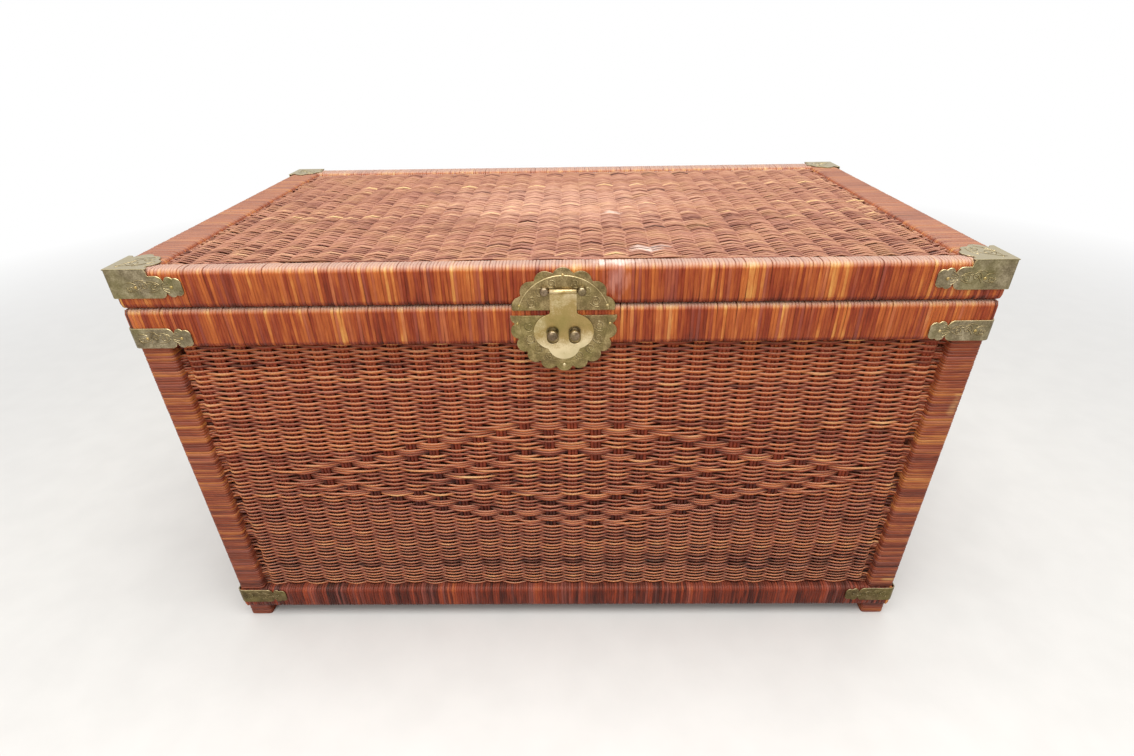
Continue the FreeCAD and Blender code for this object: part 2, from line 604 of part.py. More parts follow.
flap_outline = joined([
    block("barrel_length", "flap_thickness", "flap_lobe_drop", "lock_offset - barrel_length / 2", FLAP_FRONT,
          f"{PIN_Z} - flap_lobe_drop"),
    block("2 * flap_lobe_spread", "flap_thickness", "2 * flap_lobe_radius", "lock_offset - flap_lobe_spread",
          FLAP_FRONT, f"{PIN_Z} - flap_lobe_drop - flap_lobe_radius"),
    flap_disc("flap_lobe_radius", "flap_lobe_spread", "flap_lobe_drop"),
    flap_disc("flap_lobe_radius", "-flap_lobe_spread", "flap_lobe_drop"),
    flap_disc("flap_tongue_radius", "0", "flap_tongue_drop"),
    disc("barrel_radius", "barrel_length", "lock_offset - barrel_length / 2", PIN_Y, PIN_Z, along="x"),
])
flap_cuts = joined([
    rod(PIN_BORE, "barrel_length + 2 * cut_overrun", "lock_offset - barrel_length / 2 - cut_overrun", PIN_Y,
        PIN_Z, along="x"),
    flap_slot(-1),
    flap_slot(1),
])
node(without(flap_outline, flap_cuts), "hasp_flap")

# Hinges: two, on the back of the chest, with their axis at the seam
HINGE_Y = f"({BACK} + knuckle_radius)"
KNUCKLE = "(hinge_width / 3)"
KNUCKLE_BORE = "hinge_pin_radius + fit_clearance"


def hinge_leaf(up, x):
    """A leaf with a scalloped end: the lower one has the outer knuckles, the upper one the middle."""
    way = 1 if up else -1
    clear = "(knuckle_radius + knuckle_gap)"

    def upward(low, high):
        """Foot and height of a stretch given by its distances from the hinge axis."""
        return (f"{SEAM} + {low}" if up else f"{SEAM} - ({high})"), f"({high}) - ({low})"

    foot, height = upward(clear, "hinge_leaf_height")
    parts = [block("hinge_width", "hinge_sheet", height, f"{x} - hinge_width / 2", BACK, foot)]
    for share in (-1, 0, 1):
        parts.append(disc(f"{KNUCKLE} / 2", "hinge_sheet", f"{x} + {share} * {KNUCKLE}", BACK,
                          f"{SEAM} + {way} * hinge_leaf_height", along="y"))
    for share in ((0,) if up else (-1, 1)):
        start = f"{x} + {share} * {KNUCKLE} - {KNUCKLE} / 2 + {1 if up or share > 0 else 0} * knuckle_gap"
        length = f"{KNUCKLE} - {2 if up else 1} * knuckle_gap"
        foot, height = upward("0", f"{clear} + knuckle_gap")
        parts.append(block(length, "hinge_sheet", height, start, BACK, foot))
        parts.append(disc("knuckle_radius", length, start, HINGE_Y, SEAM, along="x"))
    bore = rod(KNUCKLE_BORE, "hinge_width + 2 * cut_overrun", f"{x} - hinge_width / 2 - cut_overrun", HINGE_Y,
               SEAM, along="x")
    return without(joined(parts), bore)


def leaf_screws(up, x):
    """Three heads across a hinge leaf."""
    way = 1 if up else -1
    return group([nail(f"{x} + {share} * {KNUCKLE}", f"{BACK} + hinge_sheet",
                       f"{SEAM} + {way} * hinge_leaf_height", facing=-1) for share in (-1, 0, 1)])


pins = []
for side_name, side in SIDES:
    x = f"{side} * hinge_spread"
    node(hinge_leaf(False, x), f"hinge_leaf_lower_{side_name}")
    node(hinge_leaf(True, x), f"hinge_leaf_upper_{side_name}")
    base_nail_groups.append(leaf_screws(False, x))
    lid_nail_groups.append(leaf_screws(True, x))
    pins.append(disc("hinge_pin_radius", "hinge_width + 2 * pin_end", f"{x} - hinge_width / 2 - pin_end",
                     HINGE_Y, SEAM, along="x"))
node(group(pins), "hinge_pins")


# Handles: one bail on each side, hanging from two posts on the rim rail
HANDLE_Z = f"({WALL_TOP} + rim_rail_height / 2)"


def across(side, low, high):
    """Start and length along X of a stretch given by its distances from the middle of the chest."""
    return (low if side > 0 else f"-({high})"), f"({high}) - ({low})"


def handle_post(side, end):
    """A lug with flat cheeks on a round rose, bored for the bail's pivot."""
    y = f"{MIDDLE_Y} + {end} * handle_spread"
    axis_x = f"{side} * ({RIGHT} + handle_axis_reach)"
    rose_start, rose_length = across(side, RIGHT, f"{RIGHT} + handle_rose_height")
    neck_start, neck_length = across(side, RIGHT, f"{RIGHT} + handle_axis_reach")
    cheek = f"{y} - handle_lug_half"
    lug = joined([disc("handle_rose_radius", rose_length, rose_start, y, HANDLE_Z, along="x"),
                  block(neck_length, "2 * handle_lug_half", "2 * handle_lug_radius", neck_start, cheek,
                        f"{HANDLE_Z} - handle_lug_radius"),
                  disc("handle_lug_radius", "2 * handle_lug_half", axis_x, cheek, HANDLE_Z, along="y")])
    bore = rod("bail_pivot_radius + fit_clearance", "2 * (handle_lug_half + cut_overrun)", axis_x,
               f"{cheek} - cut_overrun", HANDLE_Z, along="y")
    return without(lug, bore)


BAIL_ARM = "(handle_spread + handle_lug_half + handle_gap + bail_rod_radius)"
BAIL_SIDES = 8
BAIL_BENDS = 3


def bail_rod(side):
    """The bent rod of a bail: down one arm, along the grip and up the other."""
    x = amount(f"{side} * ({RIGHT} + handle_axis_reach)")
    middle, high, low = amount(MIDDLE_Y), amount(HANDLE_Z), amount(f"{HANDLE_Z} - bail_drop")
    reach, bend, radius = amount(BAIL_ARM), amount("bail_bend"), amount("bail_rod_radius")
    arm = [Vector(x, reach, high)]
    for index in range(BAIL_BENDS + 1):
        spoke = Rotation(ALONG_X, -90 * index / BAIL_BENDS).multVec(Vector(0, bend, 0))
        arm.append(Vector(x, reach - bend, low + bend) + spoke)
    line = [Vector(x, -point.y, point.z) for point in arm] + arm[::-1]
    line = Part.makePolygon([point + Vector(0, middle, 0) for point in line])
    top = line.Vertexes[0].Point
    spokes = [Rotation(ALONG_Z, 360 * index / BAIL_SIDES).multVec(Vector(radius, 0, 0))
              for index in range(BAIL_SIDES)]
    section = Part.makePolygon([top + spoke for spoke in spokes + spokes[:1]])
    bent = document.addObject("Part::Feature", "bent_rod")
    bent.Shape = line.makePipeShell([section], True, False, 1)
    return bent


def bail(side):
    """A bail: pivots, eyes, the bent rod and a thicker grip, hanging straight down."""
    x = f"{side} * ({RIGHT} + handle_axis_reach)"
    grip_z = f"{HANDLE_Z} - bail_drop"
    pivot = "(2 * handle_lug_half + handle_gap + bail_rod_radius)"
    parts = [bail_rod(side),
             disc("bail_grip_radius", "bail_grip_length", x, f"{MIDDLE_Y} - bail_grip_length / 2", grip_z,
                  along="y")]
    for end in (-1, 1):
        eye_low = f"{MIDDLE_Y} + {end} * {BAIL_ARM} - bail_rod_radius"
        pivot_low = f"{MIDDLE_Y} - {BAIL_ARM}" if end < 0 else f"{MIDDLE_Y} + {BAIL_ARM} - {pivot}"
        parts.append(disc("bail_eye_radius", "2 * bail_rod_radius", x, eye_low, HANDLE_Z, along="y"))
        parts.append(disc("bail_pivot_radius", pivot, x, pivot_low, HANDLE_Z, along="y"))
    return joined(parts)


posts = []
for side_name, side in SIDES:
    posts += [handle_post(side, end) for end in (-1, 1)]
    node(bail(side), f"handle_bail_{side_name}")
node(group(posts), "handle_posts")

# Lid stays: a slotted strip on each side, hung from the lid and riding a stud in the rim rail.
# Pivot and stud are equally far from the lid's hinge axis, so the strip turns half as far as the lid.
STAY_Y = f"({HINGE_Y} - stay_arm * cos(stay_rest_angle))"
STAY_RISE = "(stay_arm * sin(stay_rest_angle))"
STAY_CLOSED = f"(2 * {STAY_RISE})"
STAY_OPEN = "(2 * stay_arm * sin(stay_rest_angle + stay_open_angle / 2))"
STAY_OUTER = f"({RIGHT} - stay_inset)"
STAY_INNER = f"({RIGHT} - stay_inset - stay_thickness)"
STAY_HEAD = f"({STAY_INNER} - stay_side_gap - stay_head_height)"


def stay_strip(side):
    start, length = across(side, STAY_INNER, STAY_OUTER)
    pivot_z = f"{SEAM} + {STAY_RISE}"
    slot_high = f"{pivot_z} - {STAY_CLOSED} + stay_slot_gap"
    slot_low = f"{pivot_z} - {STAY_OPEN}"
    slot_radius = "(stay_stud_radius + stay_slot_gap)"
    strip = joined([disc("stay_half_width", length, start, STAY_Y, pivot_z, along="x"),
                    disc("stay_half_width", length, start, STAY_Y, slot_low, along="x"),
                    block(length, "2 * stay_half_width", f"{pivot_z} - ({slot_low})", start,
                          f"{STAY_Y} - stay_half_width", slot_low)])
    cut_start, cut_length = across(side, f"{STAY_INNER} - cut_overrun", f"{STAY_OUTER} + cut_overrun")
    cuts = joined([rod("stay_stud_radius + fit_clearance", cut_length, cut_start, STAY_Y, pivot_z, along="x"),
                   rod(slot_radius, cut_length, cut_start, STAY_Y, slot_high, along="x"),
                   rod(slot_radius, cut_length, cut_start, STAY_Y, slot_low, along="x"),
                   block(cut_length, f"2 * {slot_radius}", f"{slot_high} - ({slot_low})", cut_start,
                         f"{STAY_Y} - {slot_radius}", slot_low)])
    return without(strip, cuts)


def stay_stud(side, z, wall):
    """A stud out of a rail's inner face: a collar behind the strip, a neck through it and a head."""
    collar = across(side, f"{STAY_OUTER} + stay_side_gap", wall)
    neck = across(side, STAY_HEAD, wall)
    head = across(side, STAY_HEAD, f"{STAY_HEAD} + stay_head_height")
    return joined([disc("stay_collar_radius", collar[1], collar[0], STAY_Y, z, along="x"),
                   rod("stay_stud_radius", neck[1], neck[0], STAY_Y, z, along="x"),
                   disc("stay_collar_radius", head[1], head[0], STAY_Y, z, along="x")])


studs = []
pivots = []
for side_name, side in SIDES:
    node(stay_strip(side), f"stay_{side_name}")
    studs.append(stay_stud(side, f"{SEAM} - {STAY_RISE}", f"{RIGHT} - rail_depth"))
    pivots.append(stay_stud(side, f"{SEAM} + {STAY_RISE}", f"{RIGHT} - lid_rail_width"))
node(group(studs), "stay_studs")
node(group(pivots), "stay_pivots")


# Nails of the two lock plates, spread along their lobes
def plate_nails(radius, centre_drop, angles):
    return group([nail(f"lock_offset + ({radius} - plate_nail_inset) * sin({angle})", PLATE_FACE,
                       f"{LID_TOP} - {centre_drop} + ({radius} - plate_nail_inset) * cos({angle})")
                  for angle in angles])


lid_nail_groups.append(plate_nails("hasp_plate_radius", "hasp_plate_drop", (0, -72, 72)))
base_nail_groups.append(plate_nails("lock_plate_radius", "lock_plate_drop", (180, -90, 90)))
node(group(base_nail_groups), "base_nails")
node(group(lid_nail_groups), "lid_nails")

document.recompute()
failed = [thing.Label for thing in document.Objects if {"Invalid", "Error"} & set(thing.State)]
if failed:
    raise RuntimeError("failed to build: " + ", ".join(failed))
for thing in nodes:
    if thing.Shape.isNull() or not thing.Shape.isValid() or not thing.Shape.Solids:
        raise RuntimeError("not a valid solid: " + thing.Label)

os.makedirs("parts", exist_ok=True)
for thing in nodes:
    thing.Shape.exportStep(os.path.join("parts", thing.Label + ".step"))
    print(thing.Label, len(thing.Shape.Solids), round(thing.Shape.Volume))
whole = Part.makeCompound([thing.Shape for thing in nodes]).BoundBox
print("nodes", len(nodes), "box", whole)
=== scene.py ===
"""Woven rattan storage chest: cane wrapping, woven walls and lid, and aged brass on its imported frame."""

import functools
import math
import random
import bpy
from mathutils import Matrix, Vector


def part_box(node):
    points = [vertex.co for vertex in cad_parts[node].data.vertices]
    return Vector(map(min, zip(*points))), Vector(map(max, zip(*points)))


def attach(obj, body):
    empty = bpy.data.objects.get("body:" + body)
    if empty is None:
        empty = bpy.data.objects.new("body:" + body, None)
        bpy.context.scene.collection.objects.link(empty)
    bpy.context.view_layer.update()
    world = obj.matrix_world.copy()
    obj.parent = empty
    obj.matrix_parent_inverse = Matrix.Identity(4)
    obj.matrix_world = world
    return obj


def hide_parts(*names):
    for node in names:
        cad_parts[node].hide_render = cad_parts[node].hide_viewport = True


bl_info = {
    "name": "Woven Rattan Chest",
    "version": (1, 0, 0),
    "blender": (4, 5, 0),
    "location": "View3D > Sidebar > Rattan Chest",
    "description": "Dresses the frame of a storage chest in cane wrapping, rattan weave and brass",
    "category": "Object",
}

import bmesh
import bpy
from bpy.props import FloatProperty, FloatVectorProperty, IntProperty, PointerProperty
from bpy.types import Operator, Panel, PropertyGroup
from mathutils import Matrix, Vector, noise

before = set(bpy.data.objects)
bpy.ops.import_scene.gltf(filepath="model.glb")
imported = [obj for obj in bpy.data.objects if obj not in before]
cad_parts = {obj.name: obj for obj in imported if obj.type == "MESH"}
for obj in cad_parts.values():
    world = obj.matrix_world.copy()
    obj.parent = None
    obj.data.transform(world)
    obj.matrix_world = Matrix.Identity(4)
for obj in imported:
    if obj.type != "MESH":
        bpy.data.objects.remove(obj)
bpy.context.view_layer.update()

MM = 0.001
SIDES = (("left", -1), ("right", 1))


def cad(name):
    """Lowest and highest corner of a CAD node, in millimetres."""
    low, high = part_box(name)
    return Vector(low) / MM, Vector(high) / MM


def mid(name, axis):
    return sum(corner[axis] for corner in cad(name)) / 2


# All of these are in millimetres.
RIM_LOW, RIM_HIGH = cad("rim_rail_front")
LEFT, RIGHT, FRONT = RIM_LOW.x, RIM_HIGH.x, RIM_LOW.y
BACK = cad("rim_rail_back")[1].y
LID_LOW, LID_HIGH = cad("lid_rail_front")
LID_TOP = LID_HIGH.z
SEAM = (RIM_HIGH.z + LID_LOW.z) / 2
LOCK_X, PIN_Y, PIN_Z = mid("hasp_flap", 0), mid("hasp_pin", 1), mid("hasp_pin", 2)
CORNERS = (("front_left", LEFT, FRONT, 0), ("front_right", RIGHT, FRONT, 90),
           ("back_right", RIGHT, BACK, 180), ("back_left", LEFT, BACK, 270))
# A lid rail behind its face, and the wrapped band over the edge of the weave.
LID_RAIL, BAND = 22.0, 12.0
# Leaves of the corner brasses: from the corner to the neck, half height, and bend at the corner.
STRAP_BODY, STRAP_HALF = 48.0, 11.8
CAP_BODY, CAP_HALF, CAP_BEND = 57.0, 12.25, 0.9
CAP_CENTRE = LID_TOP - 6.4 - CAP_HALF
LEAF_NAILS = (-30, 7)
# Lock plates: node, body, radius, and how far the centre lies below the lid's top.
PLATES = (("hasp_plate", "lid", 56.0, 58.1), ("lock_plate", "base", 56.7, 63.7))
# Each hinge from the chest's middle, and its screws and knuckles from its own middle.
HINGE_X, HINGE_STEP = 270.0, 18
FACING_FRONT = Matrix.Rotation(math.radians(90), 4, "X")


# ---------------------------------------------------------------- settings

def length(text, mm, description):
    return FloatProperty(name=text, description=description, default=mm * MM, unit="LENGTH", precision=5)


def angle(text, degrees, description):
    return FloatProperty(name=text, description=description, default=math.radians(degrees), subtype="ANGLE")


def tone(text, hex_colour, description):
    return FloatVectorProperty(name=text, description=description, subtype="COLOR", size=4, min=0, max=1,
                               default=linear(hex_colour))


def linear(hex_colour):
    """An sRGB hex colour as linear red, green, blue and alpha."""
    parts = [int(hex_colour[i:i + 2], 16) / 255 for i in (1, 3, 5)]
    return tuple(c / 12.92 if c <= 0.04045 else ((c + 0.055) / 1.055) ** 2.4 for c in parts) + (1.0,)


class CaneSettings(PropertyGroup):
    """Sizes and colours of the cane wrapped round the frame."""
    pitch: length("Strand Spacing", 3.35, "Distance from one wrapped strand to the next")
    height: length("Strand Height", 1.7, "Thickness of a split strand")
    round: length("Rail Edge", 6.0, "Rounding of the rails' long edges under the wrapping")
    lean: angle("Lean", 1.5, "Largest lean of a strand")
    dark: tone("Dark Cane", "#4A180B", "Stain in the deepest strands")
    red: tone("Red Cane", "#86341A", "Usual red-brown stain")
    orange: tone("Orange Cane", "#B4602B", "Thinly stained strands")
    gold: tone("Golden Cane", "#D39A50", "Rubbed and bare strands")


class WeaveSettings(PropertyGroup):
    """Sizes of the woven walls and lid."""
    wall_pitch: length("Wall Rows", 2.98, "Distance from one row of the walls to the next")
    wall_strand: length("Wall Strand Radius", 1.47, "Radius of a wall's strands")
    wall_stakes: length("Wall Stake Spacing", 28.1, "Distance between a wall's stakes")
    wall_bulge: length("Wall Bulge", 3.1, "How far a strand swings out over a stake")
    lid_pitch: length("Lid Rows", 2.8, "Distance from one row of the lid to the next")
    lid_strand: length("Lid Strand Radius", 1.3, "Radius of the lid's strands")
    lid_stakes: length("Lid Stake Spacing", 25.7, "Distance between the lid's stakes")
    lid_bulge: length("Lid Bulge", 3.0, "How far a strand of the lid swings over a stake")
    diamond_half: length("Diamond Half Width", 342, "Outer diamond from its middle to its side corner")
    diamond_rise: length("Diamond Half Height", 87, "Height that the outer diamond's slopes aim at")
    seed: IntProperty(name="Seed", description="Start of the random draws", default=7)


class BrassSettings(PropertyGroup):
    """Sizes and colours of the brass."""
    sheet: length("Sheet", 1.2, "Thickness of the corner brasses and lock plates")
    edge: length("Edge", 0.3, "Rounding of the sheets' edges")
    line: length("Engraved Line", 0.26, "Half width of an engraved line")
    metal: tone("Brass", "#84714D", "Dull worn brass")
    tarnish: tone("Tarnish", "#51462B", "Brown-green tarnish")
    rubbed: tone("Rubbed Brass", "#BCA678", "Brass rubbed bright by hands")


class StageSettings(PropertyGroup):
    """Camera, lamps and floor."""
    lens: FloatProperty(name="Lens", description="Focal length on a 36 mm sensor", default=19.033, min=1)
    place: FloatVectorProperty(name="Camera", description="Place of the camera", size=3, unit="LENGTH",
                               subtype="TRANSLATION", default=(0.0200, -0.8234, 0.7260))
    pitch: angle("Pitch", 30.09, "Camera's look below the horizon")
    yaw: angle("Yaw", -1.03, "Camera's turn about the upright")
    roll: angle("Roll", 1.016, "Camera's tilt")
    key: FloatProperty(name="Overhead Lamp", description="Power of the large overhead lamp", default=73,
                       unit="POWER")
    fill: FloatProperty(name="Surroundings", description="Strength of the even light all round", default=0.45)
    floor: tone("Floor", "#D6D4D0", "Plain pale floor")


# ---------------------------------------------------------------- meshes

class Form:
    """Gathers the closed surfaces of one piece, in millimetres in the chest's frame."""

    def __init__(self):
        self.points, self.faces, self.finish, self.smooth = [], [], [], []

    def add(self, points, faces, place=None, finish=0, smooth=True):
        start = len(self.points)
        self.points += [place @ Vector(p) if place else Vector(p) for p in points]
        self.faces += [[start + i for i in face] for face in faces]
        self.finish += [finish] * len(faces)
        self.smooth += [smooth] * len(faces)

    def mesh(self, label, *metals):
        mesh = bpy.data.meshes.new(label)
        mesh.from_pydata([p * MM for p in self.points], [], self.faces)
        for metal in metals:
            mesh.materials.append(finish(metal))
        mesh.polygons.foreach_set("material_index", self.finish)
        mesh.polygons.foreach_set("use_smooth", self.smooth)
        return mesh


def shown(label, data):
    """A new object in the scene."""
    made = bpy.data.objects.new(label, data)
    bpy.context.scene.collection.objects.link(made)
    return made


def piece(label, mesh, body, slot, *nodes):
    """Puts a finished mesh, its shells turned outwards, on its body in place of its CAD nodes."""
    shells = bmesh.new()
    shells.from_mesh(mesh)
    bmesh.ops.recalc_face_normals(shells, faces=shells.faces)
    shells.to_mesh(mesh)
    shells.free()
    mesh.name = label
    made = shown(label, mesh)
    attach(made, body)
    if nodes:
        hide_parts(*nodes)


def brass_piece(label, form, body, node, *metals):
    """A brass piece; the finish numbers of its faces choose among the metals."""
    piece(label, form.mesh(label, *metals), body, "aged_brass", node)


def stamped(form, node, body, metal="brass", rim="edge"):
    """A stamped sheet: flat faces in its metal, smooth lines in tarnish and smooth bright rims, which are
    rubbed and partly a painted highlight.
    """
    form.smooth = [smooth and number > 0 for smooth, number in zip(form.smooth, form.finish)]
    brass_piece(f"{node}_brass", form, body, node, metal, "line", rim)


def loft(rings, closed=False):
    """Points and faces through rings of equal length; open lofts get their ends covered."""
    count, total = len(rings[0]), len(rings)
    faces = []
    for i in range(total if closed else total - 1):
        a, b = i * count, (i + 1) % total * count
        faces += [(a + j, a + (j + 1) % count, b + (j + 1) % count, b + j) for j in range(count)]
    if not closed:
        faces += [tuple(reversed(range(count))), tuple(range((total - 1) * count, total * count))]
    return [p for ring in rings for p in ring], faces


def sweep(path, radii, sides=12, closed=False):
    """A round bar along a path, with one radius or a radius at each point."""
    path = [Vector(p) for p in path]
    count = len(path)
    radii = radii if isinstance(radii, (list, tuple)) else [radii] * count
    across = None
    rings = []
    for i, point in enumerate(path):
        ahead = path[(i + 1) % count] if closed or i < count - 1 else point
        behind = path[i - 1] if closed or i > 0 else point
        along = (ahead - behind).normalized()
        across = across or along.orthogonal().normalized()
        across = (across - along * across.dot(along)).normalized()
        other = along.cross(across)
        rings.append([point + radii[i] * (math.cos(a) * across + math.sin(a) * other)
                      for a in (math.tau * j / sides for j in range(sides))])
    return loft(rings, closed)


def turned(profile, sides):
    """A turned shape about Z from (radius, height) points, its ends covered."""
    return loft([[(max(r, 0.01) * math.cos(a), max(r, 0.01) * math.sin(a), z)
                  for a in (math.tau * j / sides for j in range(sides))] for r, z in profile])


def enclosed(outline):
    """Twice the area of an outline, negative where it runs clockwise."""
    return sum(a[0] * b[1] - b[0] * a[1] for a, b in zip(outline, outline[1:] + outline[:1]))


def cut_sheet(form, outlines, thickness, edge, place, rim=0):
    """A flat sheet in X-Y with rounded edges: the first outline is its rim, the others are holes."""
    curve = bpy.data.curves.new("sheet", "CURVE")
    curve.dimensions, curve.fill_mode = "2D", "BOTH"
    curve.extrude, curve.bevel_depth, curve.offset = thickness / 2 - edge, edge, -edge
    curve.bevel_resolution = 1
    for index, outline in enumerate(outlines):
        points = outline if (enclosed(outline) > 0) == (index == 0) else outline[::-1]
        spline = curve.splines.new("POLY")
        spline.points.add(len(points) - 1)
        for target, (x, y) in zip(spline.points, points):
            target.co = (x, y, 0, 1)
        spline.use_cyclic_u = True
    holder = shown("sheet", curve)
    graph = bpy.context.evaluated_depsgraph_get()
    mesh = bpy.data.meshes.new_from_object(holder.evaluated_get(graph))
    joined = bmesh.new()
    joined.from_mesh(mesh)
    bmesh.ops.remove_doubles(joined, verts=joined.verts, dist=0.002)
    joined.normal_update()
    lift = Matrix.Translation((0, 0, thickness / 2))
    first = len(form.faces)
    form.add([lift @ v.co for v in joined.verts], [[v.index for v in f.verts] for f in joined.faces], place,
             smooth=False)
    # The slanting faces are the sheet's rounded outer edge.
    for index, cut in enumerate(joined.faces):
        if 0.2 < cut.normal.z < 0.9:
            form.finish[first + index] = rim
    joined.free()
    bpy.data.objects.remove(holder)
    bpy.data.curves.remove(curve)
    bpy.data.meshes.remove(mesh)


def arc(x, y, radius, start, end, steps=12):
    """Points on an arc, its angles in degrees."""
    angles = [math.radians(start + (end - start) * i / steps) for i in range(steps + 1)]
    return [(x + radius * math.cos(a), y + radius * math.sin(a)) for a in angles]


# ---------------------------------------------------------------- nodes

def fed(tree, node, inputs):
    """Sets or links a node's inputs. A node as a value gives its first output, (node, name) the one named."""
    for key, value in inputs.items():
        socket = node.inputs[key] if isinstance(key, int) else next(
            s for s in node.inputs if s.enabled and s.name == key)
        source, name = value if isinstance(value, tuple) and len(value) == 2 else (value, None)
        if isinstance(source, bpy.types.Node):
            tree.links.new(next(s for s in source.outputs if s.enabled and name in (None, s.name)), socket)
        else:
            socket.default_value = value
    return node


def add(tree, kind, inputs=None, **settings):
    """Adds a node with its settings and feeds its inputs."""
    node = tree.nodes.new(kind)
    for name, value in settings.items():
        setattr(node, name, value)
    return fed(tree, node, inputs or {})


def maths(tree, operation, *values, **settings):
    return add(tree, "ShaderNodeMath", dict(enumerate(values)), operation=operation, **settings)


def ranged(tree, value, low, high, to_low=0.0, to_high=1.0):
    """Maps one range onto another and stays inside it."""
    return add(tree, "ShaderNodeMapRange", {"Value": value, "From Min": low, "From Max": high,
                                            "To Min": to_low, "To Max": to_high})


def xyz(tree, x=0.0, y=0.0, z=0.0):
    return add(tree, "ShaderNodeCombineXYZ", {0: x, 1: y, 2: z})


def z_of(tree, *vector):
    return add(tree, "ShaderNodeSeparateXYZ", {"Vector": vector}), "Z"


def blended(tree, share, first, second):
    """Goes from the first colour to the second by a share."""
    return add(tree, "ShaderNodeMix", {"Factor": share, 6: first, 7: second}, data_type="RGBA"), "Result"


def speckle(tree, place, apart, detail, more=None, **settings):
    """Noise whose spots lie this many millimetres apart."""
    return add(tree, "ShaderNodeTexNoise", {"Vector": (place, "Object"), "Scale": 1 / (apart * MM),
                                            "Detail": detail, **(more or {})}, **settings)


def coloured_by(tree, value, *stops):
    """A colour ramp from (position, linear colour) stops."""
    ramp = add(tree, "ShaderNodeValToRGB", {"Fac": value})
    elements = ramp.color_ramp.elements
    for position, _ in stops[2:]:
        elements.new(position)
    for element, (position, colour) in zip(sorted(elements, key=lambda e: e.position), stops):
        element.position, element.color = position, colour
    return ramp


# ---------------------------------------------------------------- materials

def new_material(name, **constants):
    """A material whose shader has these constants, with its tree, its shader and its coordinates."""
    material = bpy.data.materials.new(name)
    material.use_nodes = True
    tree = material.node_tree
    shader = fed(tree, tree.nodes["Principled BSDF"],
                 {key.replace("_", " "): value for key, value in constants.items()})
    return material, tree, shader, add(tree, "ShaderNodeTexCoord")


def dress(tree, shader, colour, gloss, height=None, strength=0.0, distance=0.0):
    """Feeds the shader its colour, roughness and, from a height in millimetres, its relief."""
    fed(tree, shader, {"Base Color": colour, "Roughness": gloss})
    if height:
        fed(tree, shader, {"Normal": add(tree, "ShaderNodeBump", {
            "Height": height, "Strength": strength, "Distance": distance * MM})})


def stained_cane(name, colours, across="z", faded=0.8, grime=0.0, scuffs=(), shaded=0.1, dust="#B39888",
                 under=0.75, mottle=0.0):
    """Stained and lacquered rattan cane. across tells which way the fibres are fine.

    Split and peeled rattan has long open pores along each strand, takes stain unevenly from one strand to the
    next, and keeps a thin lacquer: streaks of red-brown, orange and gold with a soft gloss on the crowns.
    """
    material, tree, shader, place = new_material(
        name, IOR=1.5, Coat_Weight=0.04, Coat_Roughness=0.25, Specular_IOR_Level=0.2)
    height, facing = z_of(tree, place, "Object"), z_of(tree, place, "Normal")
    tint, blush, wear = ((add(tree, "ShaderNodeAttribute", attribute_name=key), "Fac")
                         for key in ("tint", "blush", "wear"))
    # Pores are about 0.8 mm apart across a strand and run for about 25 mm along it.
    fine = tuple(1 / ((0.8 if axis in across else 25) * MM) for axis in "xyz")
    stretched = add(tree, "ShaderNodeMapping", {"Vector": (place, "Object"), "Scale": fine})
    fibres = add(tree, "ShaderNodeTexNoise", {"Vector": stretched, "Scale": 1.0, "Detail": 3.0})
    # Stain pools in patches about 22 mm long, each strand with patches of its own.
    own = maths(tree, "MULTIPLY", blush, 31.0)
    patches = speckle(tree, place, 22, 3.0, {"W": own}, noise_dimensions="4D")
    shares = maths(tree, "ADD", *(
        maths(tree, "MULTIPLY_ADD", field, 0.42, -0.21) for field in (fibres, patches)))
    if grime:
        # Painted shade darkens a wall from half its height down towards the floor.
        shares = maths(tree, "ADD", shares, ranged(tree, height, 0.04, 0.26, -grime, 0.0))
    # Upper rail edges are lightened by rubbing and a painted highlight, and lower edges are darkened as
    # painted shade.
    shares = maths(tree, "MULTIPLY_ADD", wear, 0.18, shares)
    depth = maths(tree, "ADD", tint, shares, use_clamp=True)
    ramp = coloured_by(tree, depth, (0.0, linear("#1E0A05")), *zip((0.16, 0.42, 0.68, 0.9), colours),
                       (1.0, linear("#E3BC80")))
    shade = blended(tree, ranged(tree, blush, 0.75, 1.0, 0.0, 0.22), ramp, linear("#A7685E"))
    if mottle:
        # Old lacquer goes rosy in some places and olive-gold in others, in patches of about 40 mm.
        clouds = speckle(tree, place, 40, 2.0)
        for low, high, colour in ((0.45, 0.3, "#A8705E"), (0.53, 0.68, "#AE8156")):
            shade = blended(tree, ranged(tree, clouds, low, high, 0.0, mottle), shade, linear(colour))
    # Sun and dust bleach what faces upwards to a greyish tan, and the same tan paints the sheen of the
    # overhead lamp on the tops of strands; near the floor it is weaker, as painted shade.
    bleach_and_sheen = maths(tree, "MULTIPLY", ranged(tree, facing, 0.2, 0.9, 0.0, faded),
                   ranged(tree, height, 0.3, 0.48, shaded, 1.0))
    # Strands that dip behind others, painted dark as shade, keep their colour and get no painted sheen.
    bleach_and_sheen = maths(tree, "MULTIPLY", bleach_and_sheen, ranged(tree, tint, 0.15, 0.5, under, 1.0))
    shade = blended(tree, bleach_and_sheen, shade, linear(dust))
    for centre, reach, colour, strength in scuffs:
        # A pale spot is a cloud round one place, broken up along the strands.
        near = add(tree, "ShaderNodeMapping", {
            "Vector": (place, "Object"), "Location": tuple(c * MM for c in centre),
            "Scale": tuple(r * MM for r in reach)}, vector_type="TEXTURE")
        far = add(tree, "ShaderNodeVectorMath", {0: near}, operation="LENGTH")
        torn = maths(tree, "ADD", patches, ranged(tree, (far, "Value"), 1.0, 0.0, -0.55, 0.35))
        shade = blended(tree, ranged(tree, torn, 0.42, 0.7, 0.0, strength), shade, linear(colour))
    dress(tree, shader, shade, ranged(tree, fibres, 0.3, 0.7, 0.42, 0.6), fibres, 0.35, 0.15)
    return material


